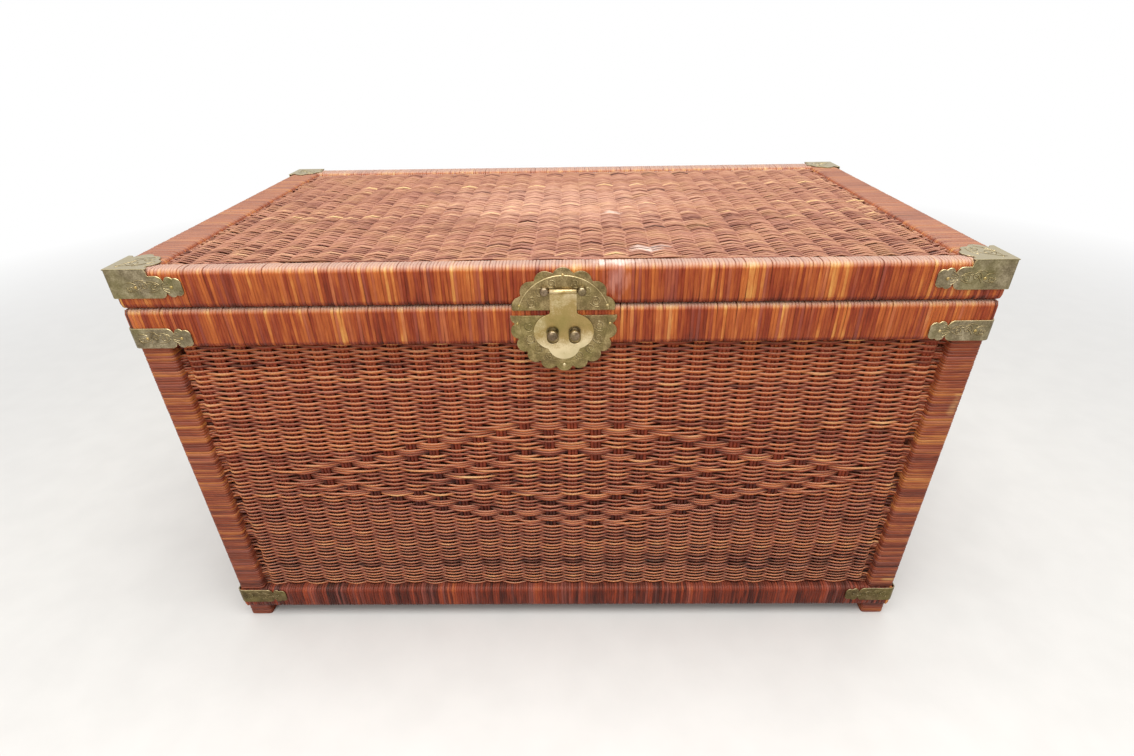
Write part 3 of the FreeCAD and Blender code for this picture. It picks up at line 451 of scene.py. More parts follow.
def aged_brass(name, colours, dullness, bright=0.0, pale=None, grain=12.0):
    """Stamped sheet brass with its lacquer worn off: olive tarnish in clouds, rubbed spots and small pits."""
    material, tree, shader, place = new_material(name, Metallic=1.0)
    clouds = speckle(tree, place, grain, 6.0, {"Roughness": 0.62})
    # Pits and handling marks about 1.5 mm apart.
    pits = speckle(tree, place, 1.5, 3.0)
    pitted = maths(tree, "MULTIPLY_ADD", pits, 0.35, bright - 0.175)
    depth = maths(tree, "ADD", clouds, pitted, use_clamp=True)
    if pale:
        # Fingers rub the flap's tongue paler towards its tip, between these two heights.
        tip = ranged(tree, z_of(tree, place, "Object"), pale[0] * MM, pale[1] * MM, 0.0, 0.44)
        depth = maths(tree, "ADD", depth, tip, use_clamp=True)
    ramp = coloured_by(tree, depth, *zip((0.22, 0.5, 0.8), colours))
    # Verdigris greens it faintly in patches about 30 mm across.
    green = ranged(tree, speckle(tree, place, 30, 3.0), 0.45, 0.65, 0.0, 0.25)
    # Brass that faces upwards is dusted paler, and the paler colour also paints the highlight of the overhead
    # lamp.
    dust = ranged(tree, z_of(tree, place, "Normal"), 0.6, 1.0, 0.0, 0.6)
    shade = blended(tree, dust, blended(tree, green, ramp, linear("#8A8548")), linear("#BDB294"))
    gloss = ranged(tree, depth, 0.3, 0.7, dullness + 0.1, dullness - 0.06)
    dress(tree, shader, shade, gloss, pits, 0.25, 0.12)
    return material


def tarnished_line(name, colours):
    """The bottoms of engraved lines, where brass turns dark brown and matt."""
    material, tree, shader, place = new_material(name, Metallic=0.6)
    grime = speckle(tree, place, 2, 2.0)
    ramp = coloured_by(tree, grime, *zip((0.35, 0.65), colours))
    dress(tree, shader, ramp, ranged(tree, grime, 0.0, 1.0, 0.5, 0.75))
    return material


def plywood(name, colours):
    """Tropical plywood: thin veneer with long dull grain, unpolished, so it stays matt in any light."""
    material, tree, shader, place = new_material(name, IOR=1.5, Specular_IOR_Level=0.35)
    # Grain lines about 3 mm apart run along the chest.
    grain_place = add(tree, "ShaderNodeMapping", {"Vector": (place, "Object"), "Scale": (4.0, 330.0, 330.0)})
    grain = add(tree, "ShaderNodeTexNoise", {"Vector": grain_place, "Scale": 1.0, "Detail": 5.0,
                                             "Distortion": 0.4})
    dress(tree, shader, coloured_by(tree, grain, *zip((0.3, 0.5, 0.72), colours)),
          ranged(tree, grain, 0.0, 1.0, 0.55, 0.75), grain, 0.2, 0.2)
    return material


# Pale spots: centre and reach in millimetres, colour, strength.
RAIL_PALE_SPOTS = (((62, FRONT, LID_TOP - 16), (26, 22, 40), "#C98F80", 0.5),
               ((62, FRONT + 10, LID_TOP), (60, 20, 7), "#EBDACF", 0.55))
LID_PALE_SPOTS = (((98, -186, LID_TOP), (55, 26, 20), "#F0E2D6", 0.6),
              ((69, -36, LID_TOP), (30, 22, 20), "#EBD9CB", 0.6),
              ((0, 20, LID_TOP), (460, 290, 20), "#DBAE95", 0.36))
POST_PALE_SPOTS = (((444, FRONT, 68), (26, 14, 7), "#BE915A", 0.9),
               ((448, FRONT, 350), (14, 14, 40), "#C99A66", 0.5))


@functools.cache
def finish(name):
    """The chest's materials, each made when it is first asked for."""
    cane, brass = bpy.context.scene.chest_cane, bpy.context.scene.chest_brass
    dark, red, orange, gold = (tuple(getattr(cane, key)) for key in ("dark", "red", "orange", "gold"))
    tarnish, metal, rubbed = (tuple(getattr(brass, key)) for key in ("tarnish", "metal", "rubbed"))

    def tones(*colours):
        return [linear(colour) for colour in colours]

    make, label, colours, more = {
        "cane_across_x": (stained_cane, "stained_cane_along_rails", (dark, red, orange, gold),
                          {"across": "x", "scuffs": RAIL_PALE_SPOTS}),
        "cane_across_y": (stained_cane, "stained_cane_along_sides", (dark, red, orange, gold),
                          {"across": "y", "faded": 0.6, "dust": "#8F7463"}),
        # Posts and walls are painted darker towards the floor as shade.
        "cane_across_z": (stained_cane, "stained_cane_round_posts",
                          [dark, *tones("#81381D", "#AC662F", "#CD9A5A")],
                          {"faded": 0.25, "grime": 0.16, "scuffs": POST_PALE_SPOTS, "shaded": 0.8}),
        "wall_weave": (stained_cane, "stained_rattan_walls", [dark, red, *tones("#B25E2E", "#D0985E")],
                       {"faded": 0.62, "grime": 0.1, "shaded": 0.9, "dust": "#C69A7B", "under": 0.05}),
        # The lid's palette is paler and greyer than the walls': sun fading, and partly a painted sheen of the
        # overhead lamp.
        "lid_weave": (stained_cane, "stained_rattan_lid", tones("#421A10", "#7A4230", "#A0684C", "#B88766"),
                      {"across": "y", "faded": 0.26, "scuffs": LID_PALE_SPOTS, "dust": "#BC9A85", "under": 0.0,
                       "mottle": 0.36}),
        "brass": (aged_brass, "aged_stamped_brass", (tarnish, metal, rubbed), {"dullness": 0.42}),
        "grey_brass": (aged_brass, "dusty_stamped_brass", tones("#584D38", "#877A60", "#BBAC8E"),
                       {"dullness": 0.44}),
        "low_brass": (aged_brass, "grimy_stamped_brass", tones("#3F3522", "#655637", "#8C7A54"),
                      {"dullness": 0.48}),
        "edge": (aged_brass, "worn_edges_of_brass", (metal, rubbed, linear("#E2D2A6")),
                 {"dullness": 0.34, "bright": 0.04}),
        "rubbed": (aged_brass, "rubbed_brass_flap", tones("#93804C", "#A98F5C", "#E0CDA4"),
                   {"dullness": 0.42, "pale": (447, 430), "grain": 22.0}),
        "post": (aged_brass, "worn_lock_posts", tones("#4A3C2E", "#77654F", "#A08C74"),
                 {"dullness": 0.34, "bright": 0.02}),
        "line": (tarnished_line, "tarnish_in_engraving", tones("#4A3C22", "#675634"), {}),
        "plywood": (plywood, "plywood_floor_board", tones("#6B4630", "#8F6647", "#AA8260"), {}),
        "rail_wood": (plywood, "stained_wood_under_cane", tones("#4A2114", "#5C2C1A", "#6E3822"), {}),
        "veneer": (plywood, "stained_lining_veneer", tones("#421D12", "#552818", "#683622"), {}),
    }[name]
    return make(label, colours, **more)


# ---------------------------------------------------------------- geometry nodes

def new_tree(name, **inputs):
    """A Geometry Nodes tree with a geometry input and output and these named inputs."""
    tree = bpy.data.node_groups.new(name, "GeometryNodeTree")
    tree.interface.new_socket("Geometry", in_out="INPUT", socket_type="NodeSocketGeometry")
    for label, default in inputs.items():
        kind = {int: "Int", float: "Float"}.get(type(default), "Material")
        socket = tree.interface.new_socket(label.replace("_", " "), in_out="INPUT",
                                           socket_type=f"NodeSocket{kind}")
        if default is not None:
            socket.default_value = default
    tree.interface.new_socket("Geometry", in_out="OUTPUT", socket_type="NodeSocketGeometry")
    return tree, add(tree, "NodeGroupInput")


def close_tree(tree, start, shape):
    """Ends a tree in smooth shading, Realize Instances and Set Material."""
    for kind, more in (("GeometryNodeSetShadeSmooth", {}), ("GeometryNodeRealizeInstances", {}),
                       ("GeometryNodeSetMaterial", {"Material": (start, "Material")}),
                       ("NodeGroupOutput", {})):
        shape = add(tree, kind, {"Geometry": shape, **more})
    return tree


def drawn(tree, start, low, high, offset=0.0, **settings):
    """A random value for each strand; every offset of the seed has draws of its own."""
    seed = maths(tree, "ADD", (start, "Seed"), offset) if offset else (start, "Seed")
    return add(tree, "FunctionNodeRandomValue", {"Min": low, "Max": high, "Seed": seed}, **settings)


@functools.cache
def wrapping_tree():
    """Closed strands side by side along a bar, each with its own lean, width and tint."""
    tree, start = new_tree("cane_wrapping", Length=1.0, Spacing=0.00275, Height=0.0015, Lean=0.01,
                           Darkest=0.2, Lightest=0.9, Bands=25.0, Seed=1, Material=None)
    whole, spacing, most = (start, "Length"), (start, "Spacing"), (start, "Lean")
    loop = add(tree, "GeometryNodeMeshToCurve", {"Mesh": (start, "Geometry")})
    level = add(tree, "GeometryNodeSetCurveNormal", {"Curve": loop}, mode="Z_UP")
    # Each strand is a little wider than its place, so that neighbours touch.
    circle = add(tree, "GeometryNodeCurvePrimitiveCircle", {"Resolution": 6, "Radius": 0.5})
    wide = maths(tree, "MULTIPLY", spacing, 1.2)
    profile = add(tree, "GeometryNodeTransform", {
        "Geometry": circle, "Scale": xyz(tree, (start, "Height"), wide, 1.0)})
    strand = add(tree, "GeometryNodeCurveToMesh", {"Curve": level, "Profile Curve": profile})
    count = maths(tree, "ROUND", maths(tree, "DIVIDE", whole, spacing))
    step = maths(tree, "DIVIDE", whole, count)
    line = add(tree, "GeometryNodeMeshLine", {
        "Count": count, "Start Location": xyz(tree, z=maths(tree, "MULTIPLY", step, 0.5)),
        "Offset": xyz(tree, z=step)})
    shift = drawn(tree, start, *(maths(tree, "MULTIPLY", step, share) for share in (-0.09, 0.09)))
    points = add(tree, "GeometryNodeSetPosition", {"Geometry": line, "Offset": xyz(tree, z=shift)})
    least = maths(tree, "MULTIPLY", most, -1.0)
    lean = drawn(tree, start, xyz(tree, least, least), xyz(tree, most, most), 11.0, data_type="FLOAT_VECTOR")
    proud, width = drawn(tree, start, 0.988, 1.0, 23.0), drawn(tree, start, 0.98, 1.1, 71.0)
    strands = add(tree, "GeometryNodeInstanceOnPoints", {
        "Points": points, "Instance": strand, "Rotation": lean, "Scale": xyz(tree, proud, proud, width)})
    # Stain changes in soft bands along the bar, and a few strands stand out brighter.
    along = z_of(tree, add(tree, "GeometryNodeInputPosition"), "Position")
    at = maths(tree, "MULTIPLY_ADD", along, (start, "Bands"), maths(tree, "MULTIPLY", (start, "Seed"), 13.7))
    cloud = add(tree, "ShaderNodeTexNoise", {"W": at, "Scale": 1.0, "Detail": 3.0, "Roughness": 0.6},
                noise_dimensions="1D")
    banded = maths(tree, "MULTIPLY", ranged(tree, cloud, 0.32, 0.68), 0.4)
    rare = maths(tree, "POWER", drawn(tree, start, 0.0, 1.0, 37.0), 2.0)
    tint = ranged(tree, maths(tree, "MULTIPLY_ADD", rare, 0.45, banded), 0.0, 1.0, (start, "Darkest"),
                  (start, "Lightest"))
    for name, value in (("tint", tint), ("blush", drawn(tree, start, 0.0, 1.0, 53.0))):
        strands = add(tree, "GeometryNodeStoreNamedAttribute",
                      {"Geometry": strands, "Name": name, "Value": value}, data_type="FLOAT",
                      domain="INSTANCE")
    return close_tree(tree, start, strands)


@functools.cache
def weaving_tree():
    """Round strands along drawn rows: each row is a smooth curve through its crossings."""
    tree, start = new_tree("rattan_weaving", Steps=4, Strand_Sides=5, Material=None)
    rows = add(tree, "GeometryNodeMeshToCurve", {"Mesh": (start, "Geometry")})
    smooth = add(tree, "GeometryNodeCurveSplineType", {"Curve": rows}, spline_type="CATMULL_ROM")
    fine = add(tree, "GeometryNodeSetSplineResolution", {"Geometry": smooth, "Resolution": (start, "Steps")})
    size = add(tree, "GeometryNodeInputNamedAttribute", {"Name": "size"}, data_type="FLOAT")
    profile = add(tree, "GeometryNodeCurvePrimitiveCircle", {
        "Resolution": (start, "Strand Sides"), "Radius": 1.0})
    return close_tree(tree, start, add(tree, "GeometryNodeCurveToMesh", {
        "Curve": fine, "Profile Curve": profile, "Scale": size, "Fill Caps": True}))


@functools.cache
def nailing_tree():
    """A domed head on every point, turned to the point's facing."""
    tree, start = new_tree("nail_heads", Radius=0.0019, Height=0.001, Seed=3, Material=None)
    ball = add(tree, "GeometryNodeMeshUVSphere", {"Segments": 12, "Rings": 7, "Radius": 1.0})
    low = xyz(tree, (start, "Radius"), (start, "Radius"), (start, "Height"))
    dome = add(tree, "GeometryNodeTransform", {"Geometry": (ball, "Mesh"), "Scale": low})
    facing = add(tree, "GeometryNodeInputNamedAttribute", {"Name": "facing"}, data_type="FLOAT_VECTOR")
    turn = add(tree, "FunctionNodeAlignRotationToVector", {"Vector": facing}, axis="Z")
    return close_tree(tree, start, add(tree, "GeometryNodeInstanceOnPoints", {
        "Points": (start, "Geometry"), "Instance": dome, "Rotation": turn,
        "Scale": drawn(tree, start, 0.93, 1.0)}))


def grown(label, source, tree, material, **inputs):
    """The plain mesh that a Geometry Nodes tree makes of a source mesh."""
    holder = shown(label, source)
    modifier = holder.modifiers.new(tree.name, "NODES")
    modifier.node_group = tree
    sockets = {item.name: item.identifier for item in tree.interface.items_tree if item.in_out == "INPUT"}
    for name, value in {**inputs, "Material": finish(material)}.items():
        modifier[sockets[name.replace("_", " ")]] = value
    graph = bpy.context.evaluated_depsgraph_get()
    result = bpy.data.meshes.new_from_object(holder.evaluated_get(graph), preserve_all_data_layers=True,
                                             depsgraph=graph)
    holder.modifiers.remove(modifier)
    bpy.data.objects.remove(holder)
    bpy.data.meshes.remove(source)
    result.materials.clear()
    result.materials.append(finish(material))
    result.polygons.foreach_set("material_index", [0] * len(result.polygons))
    return result


# ---------------------------------------------------------------- cane wrapping

ROUND_STEPS = 3


def rounded(corners, radius):
    """A polygon, counter-clockwise, with its corners rounded."""
    points = []
    for i, corner in enumerate(corners):
        corner = Vector(corner)
        back = (Vector(corners[i - 1]) - corner).normalized() * radius
        ahead = (Vector(corners[(i + 1) % len(corners)]) - corner).normalized() * radius
        for t in (j / ROUND_STEPS for j in range(ROUND_STEPS + 1)):
            points.append(corner + back * (1 - t) ** 2 + ahead * t ** 2)
    return points


def inset(corners, depth):
    """A counter-clockwise polygon of square corners, drawn in on every side."""
    moved = []
    for i, corner in enumerate(corners):
        corner = Vector(corner)
        before = (corner - Vector(corners[i - 1])).normalized()
        after = (Vector(corners[(i + 1) % len(corners)]) - corner).normalized()
        moved.append(corner + depth * (Vector((-before.y, before.x)) + Vector((-after.y, after.x))))
    return moved


def box_section(low, high, axis=2):
    """The four corners of a box, seen along an axis."""
    a, b = (axis + 1) % 3, (axis + 2) % 3
    return [(low[a], low[b]), (high[a], low[b]), (high[a], high[b]), (low[a], high[b])]


def wrapped_bar(node, axis, section, low, high, body, edge, bands, seed, shades, rub=1.0):
    """A bar wrapped in cane: section is its outline in the two axes after its own."""
    cane = bpy.context.scene.chest_cane
    label = node.replace("rail", "wrap").replace("corner_post", "post_wrap").replace("foot", "foot_wrap")
    thick = cane.height / MM
    section = section if enclosed(section) > 0 else section[::-1]
    middle = sum((Vector(p) for p in section), Vector((0, 0))) / len(section)
    centred = [Vector(p) - middle for p in section]
    # Strands lie half sunk in a core painted dark as the shade between them, so that no light shows between
    # them.
    path = rounded(inset(centred, thick / 2), edge)
    core = rounded(inset(centred, thick * 0.62), edge)
    loop = bpy.data.meshes.new("loop")
    loop.from_pydata([(p.x * MM, p.y * MM, 0) for p in path],
                     [(i, (i + 1) % len(path)) for i in range(len(path))], [])
    # Hands rub the upper edges of the rails bright, and a painted highlight lies on them too; the lower edges
    # are painted darker as shade.
    wear = [math.copysign(rub, p[1 - axis]) if axis < 2 and 0 < i % (ROUND_STEPS + 1) < ROUND_STEPS else 0.0
            for i, p in enumerate(path)]
    loop.attributes.new("wear", "FLOAT", "POINT").data.foreach_set("value", wear)
    mesh = grown(label, loop, wrapping_tree(), f"cane_across_{'xyz'[axis]}", Length=(high - low) * MM,
                 Spacing=cane.pitch, Height=cane.height, Lean=cane.lean, Darkest=shades[0],
                 Lightest=shades[1], Bands=bands, Seed=seed)
    bar = Form()
    bar.add(*loft([[(p.x, p.y, z) for p in core] for z in (0.3, high - low - 0.3)]), smooth=False)
    join(mesh, bar, "rail_wood")
    # The bar grew along Z and is turned onto its own axis.
    axes = Matrix.Identity(3)
    turn = Matrix((axes[(axis + 1) % 3], axes[(axis + 2) % 3], axes[axis])).transposed()
    mesh.transform(Matrix.Translation(turn @ Vector((middle.x, middle.y, low)) * MM) @ turn.to_4x4())
    piece(label, mesh, body, "cane_wrap", node)


def join(mesh, form, material):
    """Adds a form's shells, with one material, to a mesh."""
    extra = form.mesh("extra", material)
    slot = len(mesh.materials)
    mesh.materials.append(finish(material))
    joined = bmesh.new()
    joined.from_mesh(mesh)
    first = len(joined.faces)
    joined.from_mesh(extra)
    joined.faces.ensure_lookup_table()
    for face in joined.faces[first:]:
        face.material_index = slot
    joined.to_mesh(mesh)
    joined.free()
    bpy.data.meshes.remove(extra)


# ---------------------------------------------------------------- weaving

class Rows:
    """Strands to be woven: their points in millimetres, with a radius and two tints at each."""

    def __init__(self):
        self.points, self.edges, self.values = [], [], {"size": [], "tint": [], "blush": []}

    def lay(self, path, size, tint, blush):
        start = len(self.points)
        self.points += [Vector(point) for point in path]
        for key, value in (("size", size), ("tint", tint), ("blush", blush)):
            self.values[key] += value if isinstance(value, list) else [value] * len(path)
        self.edges += [(i, i + 1) for i in range(start, len(self.points) - 1)]

    def mesh(self, place):
        mesh = bpy.data.meshes.new("rows")
        mesh.from_pydata([place @ (p * MM) for p in self.points], self.edges, [])
        for key, values in self.values.items():
            scale = MM if key == "size" else 1
            mesh.attributes.new(key, "FLOAT", "POINT").data.foreach_set("value", [v * scale for v in values])
        return mesh


def stake_places(width, pitch, margin):
    count = round((width - 2 * margin) / pitch)
    step = (width - 2 * margin) / count
    return [-width / 2 + margin + step * i for i in range(count + 1)]


def lay_stakes(rows, rng, stakes, height, sway, radius, tint, shade=0.0):
    """Stakes of three rods side by side, painted darker towards their feet as shade."""
    count = max(3, round(height / 70))
    for u in stakes:
        for rod in (-1, 0, 1):
            levels = [-height / 2 + height * i / count for i in range(count + 1)]
            path = [(u + rod * radius * 1.7 + rng.uniform(-0.3, 0.3) + sway(u, v), v, rng.uniform(-0.3, 0.3))
                    for v in levels]
            own = rng.uniform(-0.06, 0.08)
            rows.lay(path, radius, [tint + own - shade * (1 - i / count) for i in range(count + 1)],
                     rng.random() * 0.6)


def lay_rows(rows, rng, height, pitch, radius, stakes, bulge, over, ends, drift, spread, sway, mean, gap=0,
             loosening=1.0):
    """Rows of strands over and under the stakes.

    over says at which stakes, spread how far strands part there, and ends how a row meets its border. drift
    and sway are slow waves of the rows and the stakes, and mean is the usual tint.
    """
    count = int((height - gap) / pitch)
    for row in range(count):
        share, thickness, shadow = (row + 0.5) / count, 1.0, 0.12
        if loosening > 1:
            # Rows are thinner and beaten down tighter towards the foot, and their hidden parts are painted in
            # deeper shade there.
            thickness, shadow = loosening ** (1.6 * share - 0.8), 0.34 - 0.22 * share
            share = (loosening ** share - 1) / (loosening - 1)
        v0 = -height / 2 + gap + (height - gap) * share
        base = min(0.85, max(0.3, rng.gauss(mean, 0.09)))
        blush = rng.random()
        size = radius * thickness * rng.uniform(0.93, 1.06)
        shade = rng.uniform(-0.1, 0.1)
        path, tints = [], []
        for k, u in enumerate(stakes):
            up = over(row, k, u, v0)
            # A strand's colour changes slowly, and at once where a new strand takes over.
            if rng.random() < 0.05:
                base = min(0.9, max(0.3, rng.gauss(mean, 0.12)))
            shade = 0.6 * shade + rng.uniform(-0.08, 0.08)
            shift = spread(row, u, v0) if up else 0.0
            path.append((u + sway(u, v0), v0 + drift(u, v0) + shift + rng.uniform(-0.22, 0.22),
                         (bulge if up else -bulge) * rng.uniform(0.82, 1.06)))
            # Over a stake a strand is a little lighter; where it passes under, it is painted darker as shade.
            tints.append(base + shade + (0.07 if up else -shadow))
        before, after = (ends(row, side, last, v0, rng) for side, last in ((-1, path[0]), (1, path[-1])))
        path = before[::-1] + path + after
        rows.lay(path, size, [tints[0]] * len(before) + tints + [tints[-1]] * len(after), blush)


def drifting(seed, reach):
    """Slow waves that neighbouring rows share."""
    return lambda u, v: reach * noise.noise(Vector((u * 0.006, v * 0.02, seed)))


def wall_ends(width, seed):
    """Some rows run on into the post's wrapping and the others turn back behind the last stakes."""
    def ends(row, side, last, v, rng):
        crowd = noise.noise(Vector((row * 0.19, side * 7.0, seed)))
        if crowd + rng.uniform(-0.3, 0.3) > -0.5:
            slant = rng.uniform(-1.8, 1.8)
            return [(side * (width / 2 - 6), v + slant * 0.4, rng.uniform(-2.5, 1.0)),
                    (side * (width / 2 + 2), v + slant, rng.uniform(-1.5, 2.5))]
        return [(last[0] + side * 7, v, -abs(last[2]) * 0.5)]
    return ends


def diamond_bands(settings, centre_u, centre_v):
    """True where rows go in threes: a flat-topped outer diamond and a small one inside it."""
    half, rise = settings.diamond_half / MM, settings.diamond_rise / MM
    flat_top, small_half, small_rise = 68, 172, 44

    def inside(u, v):
        x, z = abs(u - centre_u), abs(v - centre_v)
        outer = min((1 - x / half) * rise, flat_top)
        return (x < half + 8 and abs(z - max(outer, 0)) < 12) or (
            abs(z - small_rise * (1 - x / small_half)) < 10 and x < small_half + 10)
    return inside


def woven(node, label, body, rows, across, upward, width, height, face, material, steps, sides):
    """Grows a panel's strands, lines it with thin dark veneer at the height of face, which paints the shade
    inside the chest seen through the weave, and sets it in place.
    """
    low, high = cad(node)
    across, upward = Vector(across), Vector(upward)
    turn = Matrix((across, upward, across.cross(upward))).transposed().to_4x4()
    middle = (low + high) / 2
    place = Matrix.Translation(middle * MM) @ turn
    mesh = grown(node, rows.mesh(place), weaving_tree(), material, Steps=steps, Strand_Sides=sides)
    # The dark lining stands in for the shade inside the chest.
    veneer = Form()
    sheet = box_section((-width / 2, -height / 2), (width / 2, height / 2))
    veneer.add(*loft([[(u, v, w) for u, v in sheet] for w in (face, face + 0.8)]),
               Matrix.Translation(middle) @ turn, smooth=False)
    join(mesh, veneer, "veneer")
    piece(label, mesh, body, "woven_rattan", node)


# ---------------------------------------------------------------- brass

def lobe(at, centre, spread, radius):
    """Half width of a round lobe at one place along it."""
    inside = radius ** 2 - (at - centre) ** 2
    return spread + math.sqrt(inside) if inside > 0 else 0.0


def leaf_edge(u, body, half):
    """Half height of a corner leaf at a distance from its corner: strip, shoulders, neck and lobed finial."""
    if u <= body - 7:
        return half
    return max(lobe(u, body - 7, half - 7, 7), 5.2 if u < body + 8 else 0.0, lobe(u, body + 5.8, 6.4, 4.8),
               lobe(u, body + 12.6, 4.4, 5.4))


def stepped(value, end, step):
    values = []
    while value < end:
        values.append(value)
        value += step
    return values


def leaf_columns(body, start):
    """Distances from the corner at which a leaf is drawn, close together at its finial."""
    return stepped(start, body - 7, 6.0) + stepped(body - 7, body + 17.9, 0.55) + [body + 17.97]


class Corner:
    """The folded sheet of one corner brass: where a point of its two leaves lies in the chest's frame."""

    def __init__(self, x, y, z, turn, radius):
        self.place = Matrix.Translation((x, y, z)) @ Matrix.Rotation(math.radians(turn), 4, "Z")
        self.radius = radius

    def at(self, u, v, depth):
        """u runs from the corner, positive along the corner's own front, negative along its side."""
        r = self.radius
        quarter = r * math.pi / 4
        s = math.copysign(max(abs(u) - r + quarter, 0), u) if abs(u) > r else u / max(r, 0.01) * quarter
        if s >= quarter:
            point = (r + s - quarter, -depth, v)
        elif s <= -quarter:
            point = (-depth, r - s - quarter, v)
        else:
            a = math.radians(45) * (1 - s / quarter)
            point = (r - (r + depth) * math.sin(a), r - (r + depth) * math.cos(a), v)
        return self.place @ Vector(point)


def flat(place):
    """Where the points of a flat sheet lie."""
    return lambda u, v, depth: place @ Vector((u, v, depth))


def strip_ring(at, u, low, high, thickness, edge):
    """Section of a strip with rounded long edges."""
    e = min(edge, (high - low) / 2 * 0.5)
    return [at(u, low + e * 0.2, 0), at(u, high - e * 0.2, 0), at(u, high, thickness - e),
            at(u, high - e, thickness), at(u, low + e, thickness), at(u, low, thickness - e)]


def engrave(form, at, lines, depth, lift=0.5):
    """Half-sunk dark lines on a sheet's outer face, each with a bright ridge beside it: the ridge's paler
    brass is rubbed and partly a painted highlight.
    """
    radius = bpy.context.scene.chest_brass.line / MM
    for shift, rise, share, number in ((0, 0, 1, 1), (0.5, lift, 0.9, 2)):
        for line in lines:
            path = [at(u + shift, v + rise, depth) for u, v in line]
            form.add(*sweep(path, radius * share, 5), finish=number)


def bow(u1, v1, u2, v2, rise, steps=8):
    """A shallow curve from one point to another."""
    along = Vector((u2 - u1, v2 - v1))
    side = Vector((-along.y, along.x)).normalized() * rise
    return [tuple(Vector((u1, v1)) + along * t + side * 4 * t * (1 - t))
            for t in (i / steps for i in range(steps + 1))]


def curl(u, v, radius, start, turns, shrink=0.25, steps=16):
    """A scroll that winds inwards."""
    points = []
    for t in (i / steps for i in range(steps + 1)):
        a = math.radians(start) + math.tau * turns * t
        r = radius * (1 - (1 - shrink) * t)
        points.append((u + r * math.cos(a), v + r * math.sin(a)))
    return points


def leaf_scrolls(body, sign):
    """Engraved foliage of one leaf: scrolls in its body and rays in its finial."""
    nail = body + LEAF_NAILS[0]
    lines = [curl(nail + u, *more) for u, *more in (
        (9, 1.5, 5.2, 200, -1.3), (19, -0.5, 4.4, 20, 1.2), (-6, -1.5, 3.6, 160, 1.1))]
    lines += [bow(nail + u1, v1, nail + u2, v2, rise) for u1, v1, u2, v2, rise in (
        (3, -5.2, 16, 3.6, 2.4), (12, -5.4, 25, -1.0, -1.6), (13, 5.6, 26, 1.2, 1.8), (-1, 5.6, 10, 6.8, 1.2),
        (-9, 4.4, 1, 2.0, 1.5), (-10, -4.6, 2, -2.4, -1.4))]
    lines += [bow(body - 3, k * 1.1, body + 5 - abs(k) * 0.6, k * 3.6, 0.2 * k) for k in (-2, -1, 0, 1, 2)]
    return [[(sign * u, v) for u, v in line] for line in lines]


def leaf_sheet(form, corner, body, limits, extra=()):
    """Both leaves of a corner brass as one folded strip with its engraving."""
    brass = bpy.context.scene.chest_brass
    thick, edge = brass.sheet / MM, brass.edge / MM
    side = sorted({*leaf_columns(body, max(corner.radius, 1.0)), *extra})
    fold = [corner.radius * t / 4 for t in range(-3, 4)] if corner.radius > 1 else [-0.4, 0.0, 0.4]
    rings = [strip_ring(corner.at, u, *limits(u), thick, edge * 1.8)
             for u in [-u for u in reversed(side)] + fold + side]
    first, count = len(form.faces), len(rings[0])
    form.add(*loft(rings))
    # Sides 2 and 4 of each ring are the rounded edges, which wear bright and carry a painted highlight.
    for i in range(len(rings) - 1):
        for j in (2, 4):
            form.finish[first + i * count + j] = 2
    for sign in (-1, 1):
        engrave(form, corner.at, leaf_scrolls(body, sign), thick, 0.55)


def lobed_outline(radius, lobes, lobe_radius, start, steps=9):
    """A round plate's outline with lobes all round."""
    points = []
    centre = radius - lobe_radius
    for i in range(lobes * steps):
        a = math.tau * i / (lobes * steps)
        off = (a - start + math.pi / lobes) % (math.tau / lobes) - math.pi / lobes
        reach = lobe_radius ** 2 - (centre * math.sin(off)) ** 2
        r = max(centre, centre * math.cos(off) + math.sqrt(max(reach, 0)))
        points.append((r * math.cos(a), r * math.sin(a)))
    return points


def cut_straight(points, level, way):
    """The part of an outline above a level, or below it where way is -1."""
    kept = []
    for i, (x, y) in enumerate(points):
        px, py = points[i - 1]
        if (way * (y - level) > 0) != (way * (py - level) > 0):
            kept.append((px + (x - px) * ((level - py) / (y - py)), level))
        if way * (y - level) > 0:
            kept.append((x, y))
    return kept


# ---------------------------------------------------------------- operators

